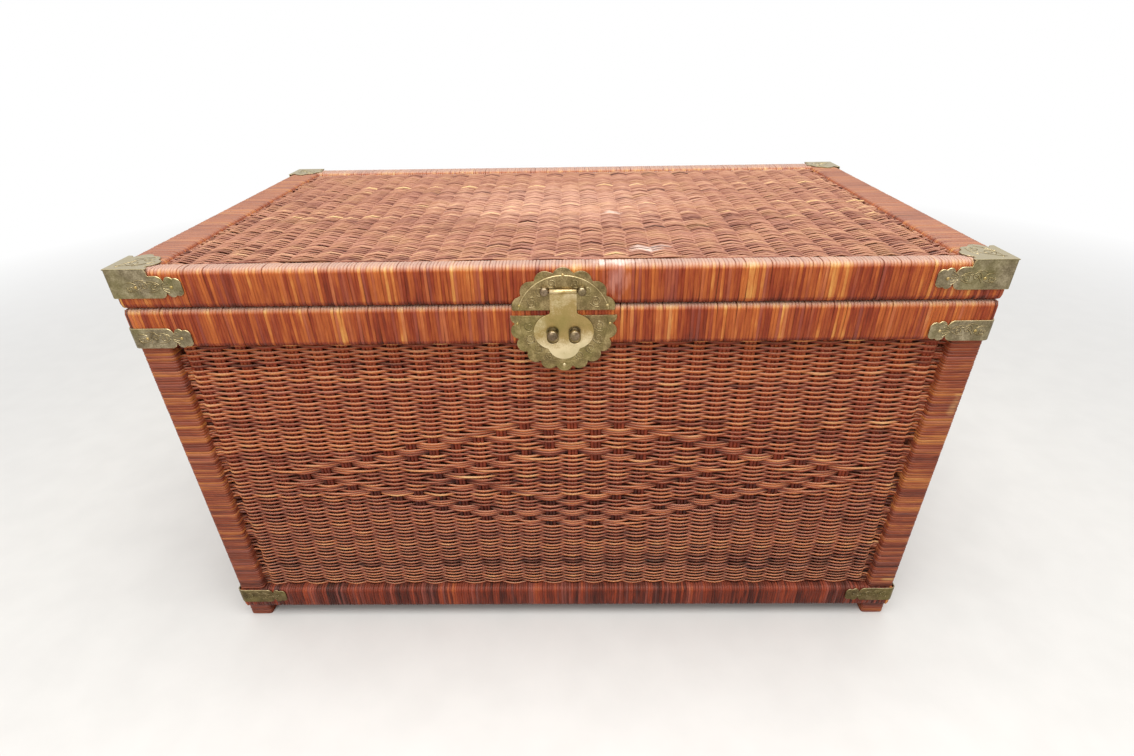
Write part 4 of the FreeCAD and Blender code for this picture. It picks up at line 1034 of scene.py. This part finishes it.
class CHEST_OT_stage(Operator):
    """Sets the camera, the lamps, the surroundings and the floor"""
    bl_idname = "chest.stage"
    bl_label = "Stage"

    def execute(self, context):
        settings = context.scene.chest_stage
        camera = shown("camera", bpy.data.cameras.new("camera"))
        camera.data.sensor_fit, camera.data.sensor_width, camera.data.lens = "HORIZONTAL", 36, settings.lens
        camera.data.clip_start = 0.01
        turn = Matrix.Rotation(settings.pitch, 3, "X") @ Matrix.Rotation(settings.yaw, 3, "Z")
        c, s = math.cos(settings.roll), math.sin(settings.roll)
        right, up = c * turn[0] - s * turn[2], s * turn[0] + c * turn[2]
        axes = Matrix((right, up, -turn[1])).transposed().to_4x4()
        camera.matrix_world = Matrix.Translation(settings.place) @ axes
        context.scene.camera = camera
        context.scene.view_settings.view_transform = "Standard"
        self.light(settings)
        self.surround(context, settings)
        self.lay_floor(settings)
        return {"FINISHED"}

    def light(self, settings):
        middle = Vector((0, 0, 0.3))
        for name, place, size, power in (("overhead_lamp", (0.1, -0.5, 2.3), 2.2, settings.key),
                                         ("front_lamp", (-0.9, -2.6, 1.5), 1.6, settings.key * 0.3)):
            lamp = bpy.data.lights.new(name, "AREA")
            lamp.size, lamp.energy = size, power
            holder = shown(name, lamp)
            holder.location = place
            holder.rotation_euler = (middle - Vector(place)).to_track_quat("-Z", "Y").to_euler()

    def surround(self, context, settings):
        world = bpy.data.worlds.new("white_room")
        world.use_nodes = True
        tree = world.node_tree
        tree.nodes.clear()
        path = add(tree, "ShaderNodeLightPath")
        seen = maths(tree, "MAXIMUM", (path, "Is Camera Ray"), (path, "Is Glossy Ray"))
        seen = maths(tree, "MAXIMUM", seen, (path, "Is Transmission Ray"))
        even, white = (add(tree, "ShaderNodeBackground", {"Color": (1, 1, 1, 1), "Strength": strength})
                       for strength in (settings.fill, 1.0))
        mixed = add(tree, "ShaderNodeMixShader", {0: seen, 1: even, 2: white})
        add(tree, "ShaderNodeOutputWorld", {"Surface": mixed})
        context.scene.world = world

    def lay_floor(self, settings):
        half = 30.0
        outline = box_section((-half, -half), (half, half))
        mesh = bpy.data.meshes.new("floor")
        mesh.from_pydata([(x, y, 0) for x, y in outline], [], [(0, 1, 2, 3)])
        material, tree, shader, place = new_material("painted_floor", Roughness=0.7, Specular_IOR_Level=0.2)
        # Faint unevenness of paint, about 60 mm across.
        pale = tuple(settings.floor)
        low = tuple(c * 0.965 for c in pale[:3]) + (1.0,)
        ramp = coloured_by(tree, speckle(tree, place, 60, 4.0), (0.35, low), (0.65, pale))
        fed(tree, shader, {"Base Color": ramp})
        # Far from the chest the floor goes over into the white surroundings.
        reach = add(tree, "ShaderNodeVectorMath", {0: (place, "Object")}, operation="LENGTH")
        path = add(tree, "ShaderNodeLightPath")
        seen = maths(tree, "MAXIMUM", (path, "Is Camera Ray"), (path, "Is Glossy Ray"))
        share = maths(tree, "MULTIPLY", ranged(tree, (reach, "Value"), 0.9, 2.6), seen)
        glow = add(tree, "ShaderNodeEmission", {"Color": (1, 1, 1, 1), "Strength": 1.0})
        mixed = add(tree, "ShaderNodeMixShader", {0: share, 1: shader, 2: glow})
        fed(tree, tree.nodes["Material Output"], {"Surface": mixed})
        mesh.materials.append(material)
        shown("floor", mesh)


class CHEST_OT_rails(Operator):
    """Wraps the bottom, rim and lid rails in split cane"""
    bl_idname = "chest.rails"
    bl_label = "Wrapped Rails"

    def execute(self, context):
        edge = context.scene.chest_cane.round / MM
        seed, bands = 11, 24.0
        # The bottom rails are painted darker as shade near the floor, with less painted highlight on their
        # edges.
        for level, body, shades, rubs_and_edge_lights in (("bottom", "base", (0.08, 0.58), (0.25, 0.1)),
                                          ("rim", "base", (0.32, 0.9), (1.0, 1.0)),
                                          ("lid", "lid", (0.32, 0.92), (1.0, 0.1))):
            for side, axis, sign in (("front", 0, 0), ("back", 0, 0), ("left", 1, -1), ("right", 1, 1)):
                name = f"{level}_rail_{side}"
                low, high = cad(name)
                banded = level == "lid" and side != "front"
                section = self.banded(low, high, sign) if banded else box_section(low, high, axis)
                # The last strands of a long rail turn round its ends.
                start, end = (low.y, high.y) if axis else (LEFT + edge, RIGHT - edge)
                seed += 1
                wrapped_bar(name, axis, section, start, end, body, edge, bands, seed, shades, rubs_and_edge_lights[axis])
        return {"FINISHED"}

    def banded(self, low, high, sign):
        """Section of a lid rail and the wrapped band beside it, over the edge of the weave."""
        if sign == 0:
            step, under = high.y - LID_RAIL, high.z - BAND
            return [(step, low.z), (high.y, low.z), (high.y, high.z), (low.y, high.z), (low.y, under),
                    (step, under)]
        outer, inner = (low.x, high.x) if sign < 0 else (high.x, low.x)
        step, under = outer - sign * LID_RAIL, high.z - BAND
        return [(low.z, outer), (high.z, outer), (high.z, inner), (under, inner), (under, step),
                (low.z, step)]


class CHEST_OT_rail_ends(Operator):
    """Turns the wrapping round the ends of the long rails"""
    bl_idname = "chest.rail_ends"
    bl_label = "Rail Ends"

    def execute(self, context):
        cane = context.scene.chest_cane
        rng = random.Random(41)
        for body, levels in (("base", ("bottom", "rim")), ("lid", ("lid",))):
            rows = Rows()
            for name in (f"{level}_rail_{side}" for level in levels for side in ("front", "back")):
                low, high = cad(name)
                depth = LID_RAIL if body == "lid" else high.y - low.y
                into = 1 if "front" in name else -1
                for _, sign in SIDES:
                    self.turn_round(rows, rng, low, high, depth, into, sign, cane)
            label = f"{body}_rail_ends"
            mesh = grown(label, rows.mesh(Matrix.Identity(4)), weaving_tree(), "cane_across_y", Steps=2,
                         Strand_Sides=6)
            piece(label, mesh, body, "cane_wrap")
        return {"FINISHED"}

    def turn_round(self, rows, rng, low, high, depth, into, sign, cane):
        """Strands over one end of a rail, first round its upright edge and then along its depth."""
        edge = cane.round / MM
        corner = Vector((sign * (RIGHT - edge), (low.y if into > 0 else high.y) + into * edge, 0))
        bend = edge * math.pi / 2
        total = bend + depth - edge
        count = round(total / (cane.pitch / MM))
        radius = cane.height / MM / 2 + 0.35
        for s in ((i + 0.5) * total / count for i in range(count)):
            if s < bend:
                out = Vector((sign * math.sin(s / edge), -into * math.cos(s / edge), 0))
                foot = corner + out * edge
            else:
                out = Vector((sign, 0, 0))
                foot = Vector((sign * RIGHT, corner.y + into * (s - bend), 0))
            foot = foot - out * radius
            path = []
            for z, way in ((high.z, 1), (low.z, -1)):
                over = [foot - out * (edge + 4) + Vector((0, 0, z - way * radius))]
                over += [foot - out * (edge - radius) * (1 - math.cos(t))
                         + Vector((0, 0, z - way * (edge - (edge - radius) * math.sin(t))))
                         for t in (math.radians(a) for a in (90, 60, 30, 0))]
                path += over[::way]
            lean = Vector((0, rng.uniform(-0.3, 0.3), 0))
            rows.lay([p + lean for p in path], radius * 1.12, min(0.95, max(0.15, rng.gauss(0.5, 0.16))),
                     rng.random())


class CHEST_OT_posts(Operator):
    """Wraps the corner posts and the feet in split cane"""
    bl_idname = "chest.posts"
    bl_label = "Wrapped Posts"

    def execute(self, context):
        seed, edge = 61, 4.0
        for place in (f"{end}_{side}" for end in ("front", "back") for side, _ in SIDES):
            for kind, shades, bands in (("corner_post", (0.27, 0.84), 40.0), ("foot", (0.3, 0.8), 60.0)):
                low, high = cad(f"{kind}_{place}")
                seed += 1
                wrapped_bar(f"{kind}_{place}", 2, box_section(low, high), low.z, high.z, "base", edge, bands,
                            seed, shades)
        return {"FINISHED"}


class CHEST_OT_walls(Operator):
    """Weaves the four walls over their stakes"""
    bl_idname = "chest.walls"
    bl_label = "Woven Walls"

    def execute(self, context):
        weave = context.scene.chest_weave
        for number, (side, across) in enumerate((("front", (1, 0, 0)), ("back", (-1, 0, 0)),
                                                 ("left", (0, -1, 0)), ("right", (0, 1, 0)))):
            name = f"woven_panel_{side}"
            low, high = cad(name)
            long_wall = side in ("front", "back")
            width, depth = (high[axis] - low[axis] for axis in ((0, 1) if long_wall else (1, 0)))
            height = high.z - low.z
            rng = random.Random(weave.seed + number)
            stakes = stake_places(width, weave.wall_stakes / MM, margin=15.0)
            sway = drifting(31.5 + number, 2.2)
            rows = Rows()
            lay_stakes(rows, rng, stakes, height, sway, radius=2.4, tint=0.44, shade=0.42)
            bands = diamond_bands(weave, 12.0, 246.5 - ((low + high) / 2).z)

            def over(row, k, u, v):
                return ((row // 3 if long_wall and bands(u, v) else row) + k) % 2 == 0

            def spread(row, u, v):
                return (row % 3 - 1) * 0.35 if long_wall and bands(u, v) else 0.0

            lay_rows(rows, rng, height, weave.wall_pitch / MM, weave.wall_strand / MM, stakes,
                     weave.wall_bulge / MM, over, wall_ends(width, number * 3.3), drifting(number * 5.1, 1.6),
                     spread, sway, mean=0.5, loosening=1.22)
            woven(name, f"weave_{side}", "base", rows, across, (0, 0, 1), width, height, -depth / 2,
                  "wall_weave", steps=4, sides=5)
        return {"FINISHED"}


class CHEST_OT_lid_weave(Operator):
    """Weaves the lid in rows that go over and under the stakes by turns"""
    bl_idname = "chest.lid_weave"
    bl_label = "Woven Lid"

    def execute(self, context):
        weave = context.scene.chest_weave
        low, high = cad("lid_panel")
        width, height = high.x - low.x, high.y - low.y
        rng = random.Random(weave.seed + 20)
        stakes = stake_places(width, weave.lid_stakes / MM, margin=12.0)
        sway = drifting(77.7, 2.6)
        rows = Rows()
        # The lid's stakes are painted nearly black, as the shade between its strands.
        lay_stakes(rows, rng, stakes, height, sway, radius=1.8, tint=0.05)
        pitch = weave.lid_pitch / MM
        parts = [rng.uniform(-0.2, 0.2) * pitch for _ in range(int(height / pitch) + 2)]

        def over(row, k, u, v):
            return (row + k) % 2 == 0

        def spread(row, u, v):
            # Here and there two strands part over a stake and leave a dark slit.
            return parts[row] + (rng.choice((-1.7, 1.7)) if rng.random() < 0.18 else 0.0)

        def ends(row, side, last, v, rng):
            # Strands run in under the bands, some high and some low, with short dark slots between them.
            tilt = rng.uniform(-1.2, 1.2)
            return [(side * (width / 2 - 5), v + tilt * 0.4, rng.uniform(-2.2, 2.2)),
                    (side * (width / 2 + 4), v + tilt, rng.choice((-3.2, 2.0)))]

        lay_rows(rows, rng, height, pitch, weave.lid_strand / MM, stakes, weave.lid_bulge / MM, over, ends,
                 drifting(9.9, 2.4), spread, sway, mean=0.56, gap=5.0)
        self.loose_strands(rows, rng, width, height)
        woven("lid_panel", "weave_lid", "lid", rows, (1, 0, 0), (0, 1, 0), width, height,
              low.z - ((low + high) / 2).z, "lid_weave", steps=3, sides=4)
        return {"FINISHED"}

    def loose_strands(self, rows, rng, width, height):
        """Long slack strands along the front edge of the weave."""
        for _ in range(16):
            start = rng.uniform(-width / 2 + 10, width / 2 - 130)
            reach = rng.uniform(70, 190)
            v = -height / 2 + rng.uniform(1.0, 7.0)
            tilt = rng.uniform(-2.0, 3.0)
            path = [(start + reach * t / 4, v + tilt * t / 4 + rng.uniform(-0.8, 0.8),
                     (3.4 if 0 < t < 4 else -2.5) + rng.uniform(-0.9, 0.9)) for t in range(5)]
            path = [p for p in path if abs(p[0]) < width / 2]
            if len(path) > 2:
                rows.lay(path, 1.2, rng.uniform(0.35, 0.8), rng.random())


class CHEST_OT_corner_straps(Operator):
    """Folds the engraved brass straps round the corners of the base"""
    bl_idname = "chest.corner_straps"
    bl_label = "Corner Straps"

    def execute(self, context):
        # The base straps are painted darker, as shade near the floor.
        for level, metals in (("rim_strap", ("grey_brass", "edge")), ("base_strap", ("low_brass", "brass"))):
            for node, x, y, turn in ((f"{level}_{name}", *place) for name, *place in CORNERS):
                corner = Corner(x, y, mid(node, 2), turn, context.scene.chest_cane.round / MM)
                form = Form()
                leaf_sheet(form, corner, STRAP_BODY, lambda u: [
                    way * leaf_edge(abs(u), STRAP_BODY, STRAP_HALF) for way in (-1, 1)])
                stamped(form, node, "base", *metals)
        return {"FINISHED"}


class CHEST_OT_lid_caps(Operator):
    """Folds the brass caps over the corners of the lid"""
    bl_idname = "chest.lid_caps"
    bl_label = "Lid Caps"

    def execute(self, context):
        brass = context.scene.chest_brass
        thick = brass.sheet / MM
        web, notch = 43.0, 3
        top = LID_TOP - CAP_CENTRE + thick * 0.9

        def limits(u):
            u = abs(u)
            low, high = -leaf_edge(u, CAP_BODY, CAP_HALF), top
            # The web reaches up to the lid's top and ends in a small round notch.
            if u >= web:
                high = -low
            elif u >= web - notch:
                high = top - (1 - math.sqrt(max(0, 1 - ((u - web + notch) / notch) ** 2))) * 7
            return low, high

        for name, x, y, turn in CORNERS:
            corner = Corner(x, y, CAP_CENTRE, turn, CAP_BEND)
            form = Form()
            leaf_sheet(form, corner, CAP_BODY, limits, [web - notch + i * 0.5 for i in range(8)])
            place = Matrix.Translation((x, y, LID_TOP)) @ Matrix.Rotation(math.radians(turn), 4, "Z")
            cut_sheet(form, [self.top_leaf(thick)], thick, brass.edge / MM, place, rim=2)
            lines = [curl(20, 17, 7, 200, 1.3), curl(30, 28, 5.5, 20, -1.2), bow(8, 6, 24, 30, 3),
                     bow(6, 10, 34, 16, -3), bow(14, 30, 34, 34, 2.4), bow(24, 8, 40, 22, -2.0)]
            engrave(form, flat(place), lines, thick)
            stamped(form, f"lid_corner_{name}", "lid", "grey_brass")
        return {"FINISHED"}

    def top_leaf(self, thick):
        """Outline of the leaf on the lid: straight along both edges, lobed on its inner side."""
        # Angle and distance from the corner, from one edge to the middle; the other half mirrors it.
        half = [(0, 43), (5, 42.6), (9, 38.0), (12.5, 40.5), (17, 47), (22, 50.5), (28, 51.5), (33, 49.8),
                (36, 49.2), (40, 51.2), (45, 52.4)]
        profile = half + [(90 - a, r) for a, r in reversed(half[:-1])]
        fine = [(a0 + (a1 - a0) * t / 3, r0 + (r1 - r0) * (3 * (t / 3) ** 2 - 2 * (t / 3) ** 3))
                for (a0, r0), (a1, r1) in zip(profile, profile[1:]) for t in range(3)]
        points = [(-thick, -thick)]
        for a, r in fine + profile[-1:]:
            x, y = r * math.cos(math.radians(a)), r * math.sin(math.radians(a))
            points.append((x if a < 89 else -thick, y if a > 1 else -thick))
        return points


class CHEST_OT_lock_plates(Operator):
    """Cuts the two lobed plates of the lock, each with a raised fan inside its rim"""
    bl_idname = "chest.lock_plates"
    bl_label = "Lock Plates"

    def execute(self, context):
        brass = context.scene.chest_brass
        thick, edge = brass.sheet / MM, brass.edge / MM
        face = thick + 0.4
        for (name, body, radius, drop), (lobes, lobe_radius, cut, way, inner, bead, number) in zip(
                PLATES, ((15, 11.2, 48.6, 1, 48.5, 0.55, 2), (18, 9.4, 54.4, -1, 46.0, 0.4, 0))):
            form = Form()
            centre = LID_TOP - drop
            place = Matrix.Translation((LOCK_X, FRONT, centre)) @ FACING_FRONT
            level = LID_TOP - cut - centre
            outline = lobed_outline(radius, lobes, lobe_radius, math.pi / 2)
            cut_sheet(form, [cut_straight(outline, level, way)], thick, edge, place, rim=2)
            # The fan is stamped up a little inside the lobes and has a bead for its rim.
            fan = [(inner * math.cos(a), inner * 0.985 * math.sin(a))
                   for a in (math.tau * i / 96 for i in range(96))]
            cut_sheet(form, [cut_straight(fan, level + 0.4 * way, way)], 0.75, 0.3,
                      place @ Matrix.Translation((0, 0, thick - 0.35)))
            rim = cut_straight(fan, level + 0.8 * way, way)
            turn = next(i for i in range(len(rim)) if abs(rim[i][1] - rim[i - 1][1]) < 1e-6)
            rim = [place @ Vector((u * 0.995, v * 0.995, face)) for u, v in rim[turn:] + rim[:turn]]
            form.add(*sweep(rim, bead, 8), finish=number)
            engrave(form, flat(place), self.foliage(way), face)
            stamped(form, name, body)
        return {"FINISHED"}

    def foliage(self, way):
        """Scrolls on both sides of the lock posts."""
        spots = {1: ((33, 19, 5.5), (24, 31, 5.0), (12, 39, 4.2)),
                 -1: ((37, -3, 5.5), (36, -17, 5.5), (28, -29, 5.0), (16, -37.5, 4.5))}[way]
        return [[(sign * a, b) for a, b in line] for sign in (-1, 1) for index, (u, v, r) in enumerate(spots)
                for line in (curl(u, v, r, 120 + 60 * index, 1.25 if index % 2 else -1.25),
                             bow(u - r, v - r * 0.4, u + r * 0.7, v - r * 1.1, -1.6))]


class CHEST_OT_lock_posts(Operator):
    """Turns the eye posts of the lid plate and the lock posts of the base plate"""
    bl_idname = "chest.lock_posts"
    bl_label = "Lock Posts"

    def execute(self, context):
        for name, body, profile in (
                ("hasp_posts", "lid", [(0, 0.2), (4.6, 0.2), (4.4, 1.4), (3.9, 2.0), (4.2, 3.0), (4.5, 4.4),
                                       (4.5, 5.4), (4.1, 6.4), (3.2, 7.0), (1.7, 7.25), (0, 7.3)]),
                ("lock_posts", "base", [(0, 0.2), (5.4, 0.2), (5.4, 2.8), (4.9, 3.4), (4.9, 6.2), (5.5, 6.6),
                                        (5.5, 10.2), (5.1, 11.2), (4.5, 11.7), (3.6, 11.8), (3.2, 12.2),
                                        (0, 12.2)])):
            low, high = cad(name)
            radius, scale = (high.z - low.z) / 2, (high.y - low.y) / profile[-1][1]
            form = Form()
            for x in (low.x + radius, high.x - radius):
                place = Matrix.Translation((x, high.y, mid(name, 2))) @ FACING_FRONT
                form.add(*turned([(r, z * scale) for r, z in profile], 28), place)
            brass_piece(f"{name}_turned", form, body, name, "post")
        return {"FINISHED"}


class CHEST_OT_flap(Operator):
    """Cuts the slotted flap with its rolled barrel, and turns its pin"""
    bl_idname = "chest.flap"
    bl_label = "Slotted Flap"

    def execute(self, context):
        # Heights are taken from the pin.
        strip, lobe_z, tongue_z, tongue = 14.0, -46.0, -60.8, 17.5

        def half_width(z):
            # The strip, small fillets where it widens, the lobes beside the slots and the tongue.
            fillet = strip + 3 * ((-22 - z) / 6) ** 2 if -28 < z < -22 else 0.0
            return max(strip if z > lobe_z else 0.0, fillet, lobe(z, lobe_z, 11.25, 20.5),
                       lobe(z, tongue_z, 0.0, tongue))

        form = Form()
        levels = [-1.0, -8.0, -16.0] + [-20.0 - i * 0.8 for i in range(73)]
        levels = [z for z in levels if half_width(z) > 0.2] + [tongue_z - tongue + 0.01]
        rim = [(half_width(z), z) for z in levels] + [(-half_width(z), z) for z in reversed(levels)]
        slot_top, slot_end, slot = -38.9, -59.9, 6.4
        slots = [arc(x, slot_top - slot, slot, 0, 180) + arc(x, slot_end + slot, slot, 180, 360)
                 for x in (-11.65, 11.65)]
        place = Matrix.Translation((LOCK_X, PIN_Y + 2.6, PIN_Z)) @ FACING_FRONT
        # The flap's rounded rim is in paler brass, rubbed and partly a painted highlight.
        cut_sheet(form, [rim] + slots, 1.4, 0.35, place, rim=1)
        barrel = [(LOCK_X + x, PIN_Y, PIN_Z) for x in (-14, -13.7, 13.7, 14)]
        form.add(*sweep(barrel, [2.2, 2.6, 2.6, 2.2], 24))
        # The sheet runs up into its rolled barrel.
        form.add(*sweep([(LOCK_X + x, PIN_Y + 1.5, PIN_Z - 1.6) for x in (-13.9, 13.9)], 1.5, 12))
        brass_piece("flap_brass", form, "hasp", "hasp_flap", "rubbed", "edge")
        pin = Form()
        pin.add(*sweep([(corner.x, PIN_Y, PIN_Z) for corner in cad("hasp_pin")], 1.45, 16))
        brass_piece("hasp_pin_turned", pin, "lid", "hasp_pin", "post")
        return {"FINISHED"}


class CHEST_OT_hinges(Operator):
    """Cuts the hinge leaves at the back and rolls their knuckles"""
    bl_idname = "chest.hinges"
    bl_label = "Hinges"

    def execute(self, context):
        half, height, lobe_radius = 27, 27, 9
        for side, sign in SIDES:
            x = sign * HINGE_X
            place = (Matrix.Translation((x, BACK, SEAM)) @ Matrix.Rotation(math.radians(180), 4, "Z")
                     @ FACING_FRONT)
            for part, way, body, knuckles in (("lower", -1, "base", (-1, 1)), ("upper", 1, "lid", (0,))):
                form = Form()
                outline = [(-half, 4.2), (-half, height)]
                for share in (-1, 0, 1):
                    outline += arc(share * HINGE_STEP, height, lobe_radius, 180, 0, 8)[0 if share < 0 else 1:]
                outline = [(u, way * v) for u, v in outline + [(half, 4.2)]]
                cut_sheet(form, [outline], 1.5, context.scene.chest_brass.edge / MM, place)
                for centre in (x + share * HINGE_STEP for share in knuckles):
                    form.add(*sweep([(centre + a, BACK + 3.5, SEAM) for a in (-8.9, -8.5, 8.5, 8.9)],
                                    [3.1, 3.5, 3.5, 3.1], 20))
                    # A short block joins the knuckle to its leaf.
                    block = [(centre + a, BACK + b, SEAM + way * c) for a in (-8.8, 8.8)
                             for b, c in ((0.05, 1.0), (1.5, 1.0), (1.5, 5.0), (0.05, 5.0))]
                    form.add(*loft([block[:4], block[4:]]), smooth=False)
                stamped(form, f"hinge_leaf_{part}_{side}", body)
        return {"FINISHED"}


class CHEST_OT_handles(Operator):
    """Bends the bails of the side handles and cuts their posts"""
    bl_idname = "chest.handles"
    bl_label = "Handles"

    def execute(self, context):
        middle_y = (FRONT + BACK) / 2
        axis_z = cad("handle_bail_right")[1].z - 5.2
        drop, bend, arm = 44.0, 13.0, 59.3
        path = [(-arm, z) for z in (0, -10, -20, bend - drop)]
        path += arc(-arm + bend, bend - drop, bend, 180, 270, 8)[1:]
        path += [(y, -drop) for y in (-38, -34.5, -33, -31, -18, 0)]
        path += [(-y, z) for y, z in reversed(path[:-1])]
        # The grip is thicker than the arms, with a rounded shoulder at each end.
        shoulders = {31: 5.0, 33: 4.7, 34.5: 4.7}
        radii = [shoulders.get(abs(y) if z == -drop else None, 5.4 if abs(y) <= 33 else 3.8) for y, z in path]
        posts = Form()
        for side, sign in SIDES:
            x = sign * (RIGHT + 12.5)
            form = Form()
            form.add(*sweep([(x, middle_y + y, axis_z + z) for y, z in path], radii, 16))
            for end in (-1, 1):
                centre = middle_y + end * arm
                form.add(*sweep([(x, centre + end * a, axis_z) for a in (-3.8, -3.3, 3.0, 3.9)],
                                [4.6, 5.2, 5.2, 4.2], 20))
                form.add(*sweep([(x, centre, axis_z), (x, middle_y + end * 47, axis_z)], 2.6, 12))
                self.post(posts, sign, middle_y + end * 50, axis_z)
            brass_piece(f"bail_{side}_brass", form, f"{side}_bail", f"handle_bail_{side}", "brass")
        brass_piece("handle_posts_brass", posts, "base", "handle_posts", "brass")
        return {"FINISHED"}

    def post(self, form, sign, y, z):
        """A round rose with a lug that holds one end of the bail."""
        place = Matrix.Translation((sign * RIGHT, y, z)) @ Matrix.Rotation(math.radians(90 * sign), 4, "Y")
        rose = [(0, 0.05), (13, 0.05), (13, 0.9), (12.4, 1.5), (10.5, 1.9), (9.5, 1.7), (0, 1.7)]
        form.add(*turned(rose, 32), place)
        outline = arc(12.5, 0, 6, -90, 90, 12) + [(0.5, 7.5), (0.5, -7.5)]
        lug = Matrix.Translation((sign * RIGHT, y + 5, z)) @ FACING_FRONT
        cut_sheet(form, [[(sign * a, b) for a, b in outline]], 10.0, 0.9, lug)


class CHEST_OT_nails(Operator):
    """Sets domed nails in the brasses and plates, and screws in the hinges"""
    bl_idname = "chest.nails"
    bl_label = "Nails"

    def execute(self, context):
        thick, edge = context.scene.chest_brass.sheet / MM, context.scene.chest_cane.round / MM
        heads = {"base": [], "lid": []}
        for _, x, y, turn in CORNERS:
            for body, z, leaf, radius in (("base", mid("rim_strap_front_left", 2), STRAP_BODY, edge),
                                          ("base", mid("base_strap_front_left", 2), STRAP_BODY, edge),
                                          ("lid", CAP_CENTRE, CAP_BODY, CAP_BEND)):
                corner = Corner(x, y, z, turn, radius)
                for u in (sign * (leaf + gap) for gap in LEAF_NAILS for sign in (-1, 1)):
                    spot = corner.at(u, 0, thick)
                    heads[body].append((spot, corner.at(u, 0, thick + 1) - spot))
        for (_, body, radius, drop), angles in zip(PLATES, ((18, 90, 162), (180, 270, 0))):
            for a in (math.radians(degrees) for degrees in angles):
                spot = Vector((LOCK_X + (radius - 8) * math.cos(a), FRONT - thick - 0.35,
                               LID_TOP - drop + (radius - 8) * math.sin(a)))
                heads[body].append((spot, Vector((0, -1, 0))))
        for _, sign in SIDES:
            for share in (-1, 0, 1):
                for body, way in (("base", -1), ("lid", 1)):
                    spot = Vector((sign * HINGE_X + share * HINGE_STEP, BACK + 1.5, SEAM + way * 27))
                    heads[body].append((spot, Vector((0, 1, 0))))
        for body, spots in heads.items():
            mesh = bpy.data.meshes.new("heads")
            mesh.from_pydata([p * MM for p, _ in spots], [], [])
            facing = mesh.attributes.new("facing", "FLOAT_VECTOR", "POINT")
            facing.data.foreach_set("vector", [c for _, out in spots for c in out])
            result = grown("heads", mesh, nailing_tree(), "rubbed", Radius=1.9 * MM, Height=0.95 * MM, Seed=5)
            if body == "base":
                # The lowest nails are painted as dark as the straps that they hold, as shade near the floor.
                result.materials.append(finish("low_brass"))
                for polygon in result.polygons:
                    if polygon.center.z < 60 * MM:
                        polygon.material_index = 1
            piece(f"{body}_nail_heads", result, body, "aged_brass", f"{body}_nails")
        return {"FINISHED"}


class CHEST_OT_kept_parts(Operator):
    """Gives the CAD parts that stay as they are their materials"""
    bl_idname = "chest.kept_parts"
    bl_label = "Floor Board, Stays and Pins"

    def execute(self, context):
        for name, material in (("floor_board", "plywood"), ("stay_left", "brass"), ("stay_right", "brass"),
                               ("stay_studs", "rubbed"), ("stay_pivots", "rubbed"), ("hinge_pins", "rubbed")):
            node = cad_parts[name]
            if not node.material_slots:
                node.data.materials.append(None)
            for slot in node.material_slots:
                slot.link = "OBJECT"
                slot.material = finish(material)
        return {"FINISHED"}


class CHEST_PT_pieces(Panel):
    """Lists the chest's pieces and their settings"""
    bl_idname = "CHEST_PT_pieces"
    bl_label = "Rattan Chest"
    bl_space_type = "VIEW_3D"
    bl_region_type = "UI"
    bl_category = "Rattan Chest"

    def draw(self, context):
        for operator in STEPS:
            self.layout.operator(operator.bl_idname)
        for name in SETTINGS:
            group = getattr(context.scene, name)
            column = self.layout.column(align=True)
            for key in group.bl_rna.properties.keys():
                if key not in ("rna_type", "name"):
                    column.prop(group, key)


STEPS = (CHEST_OT_stage, CHEST_OT_rails, CHEST_OT_rail_ends, CHEST_OT_posts, CHEST_OT_walls,
         CHEST_OT_lid_weave, CHEST_OT_corner_straps, CHEST_OT_lid_caps, CHEST_OT_lock_plates,
         CHEST_OT_lock_posts, CHEST_OT_flap,
         CHEST_OT_hinges, CHEST_OT_handles, CHEST_OT_nails, CHEST_OT_kept_parts)
SETTINGS = {"chest_cane": CaneSettings, "chest_weave": WeaveSettings, "chest_brass": BrassSettings,
            "chest_stage": StageSettings}
CLASSES = (*SETTINGS.values(), *STEPS, CHEST_PT_pieces)


def register():
    for item in CLASSES:
        bpy.utils.register_class(item)
    for name, group in SETTINGS.items():
        setattr(bpy.types.Scene, name, PointerProperty(type=group))


def unregister():
    for name in SETTINGS:
        delattr(bpy.types.Scene, name)
    for item in reversed(CLASSES):
        bpy.utils.unregister_class(item)


def main():
    register()
    for step in STEPS:
        group, name = step.bl_idname.split(".")
        getattr(getattr(bpy.ops, group), name)()


if __name__ == "__main__":
    main()
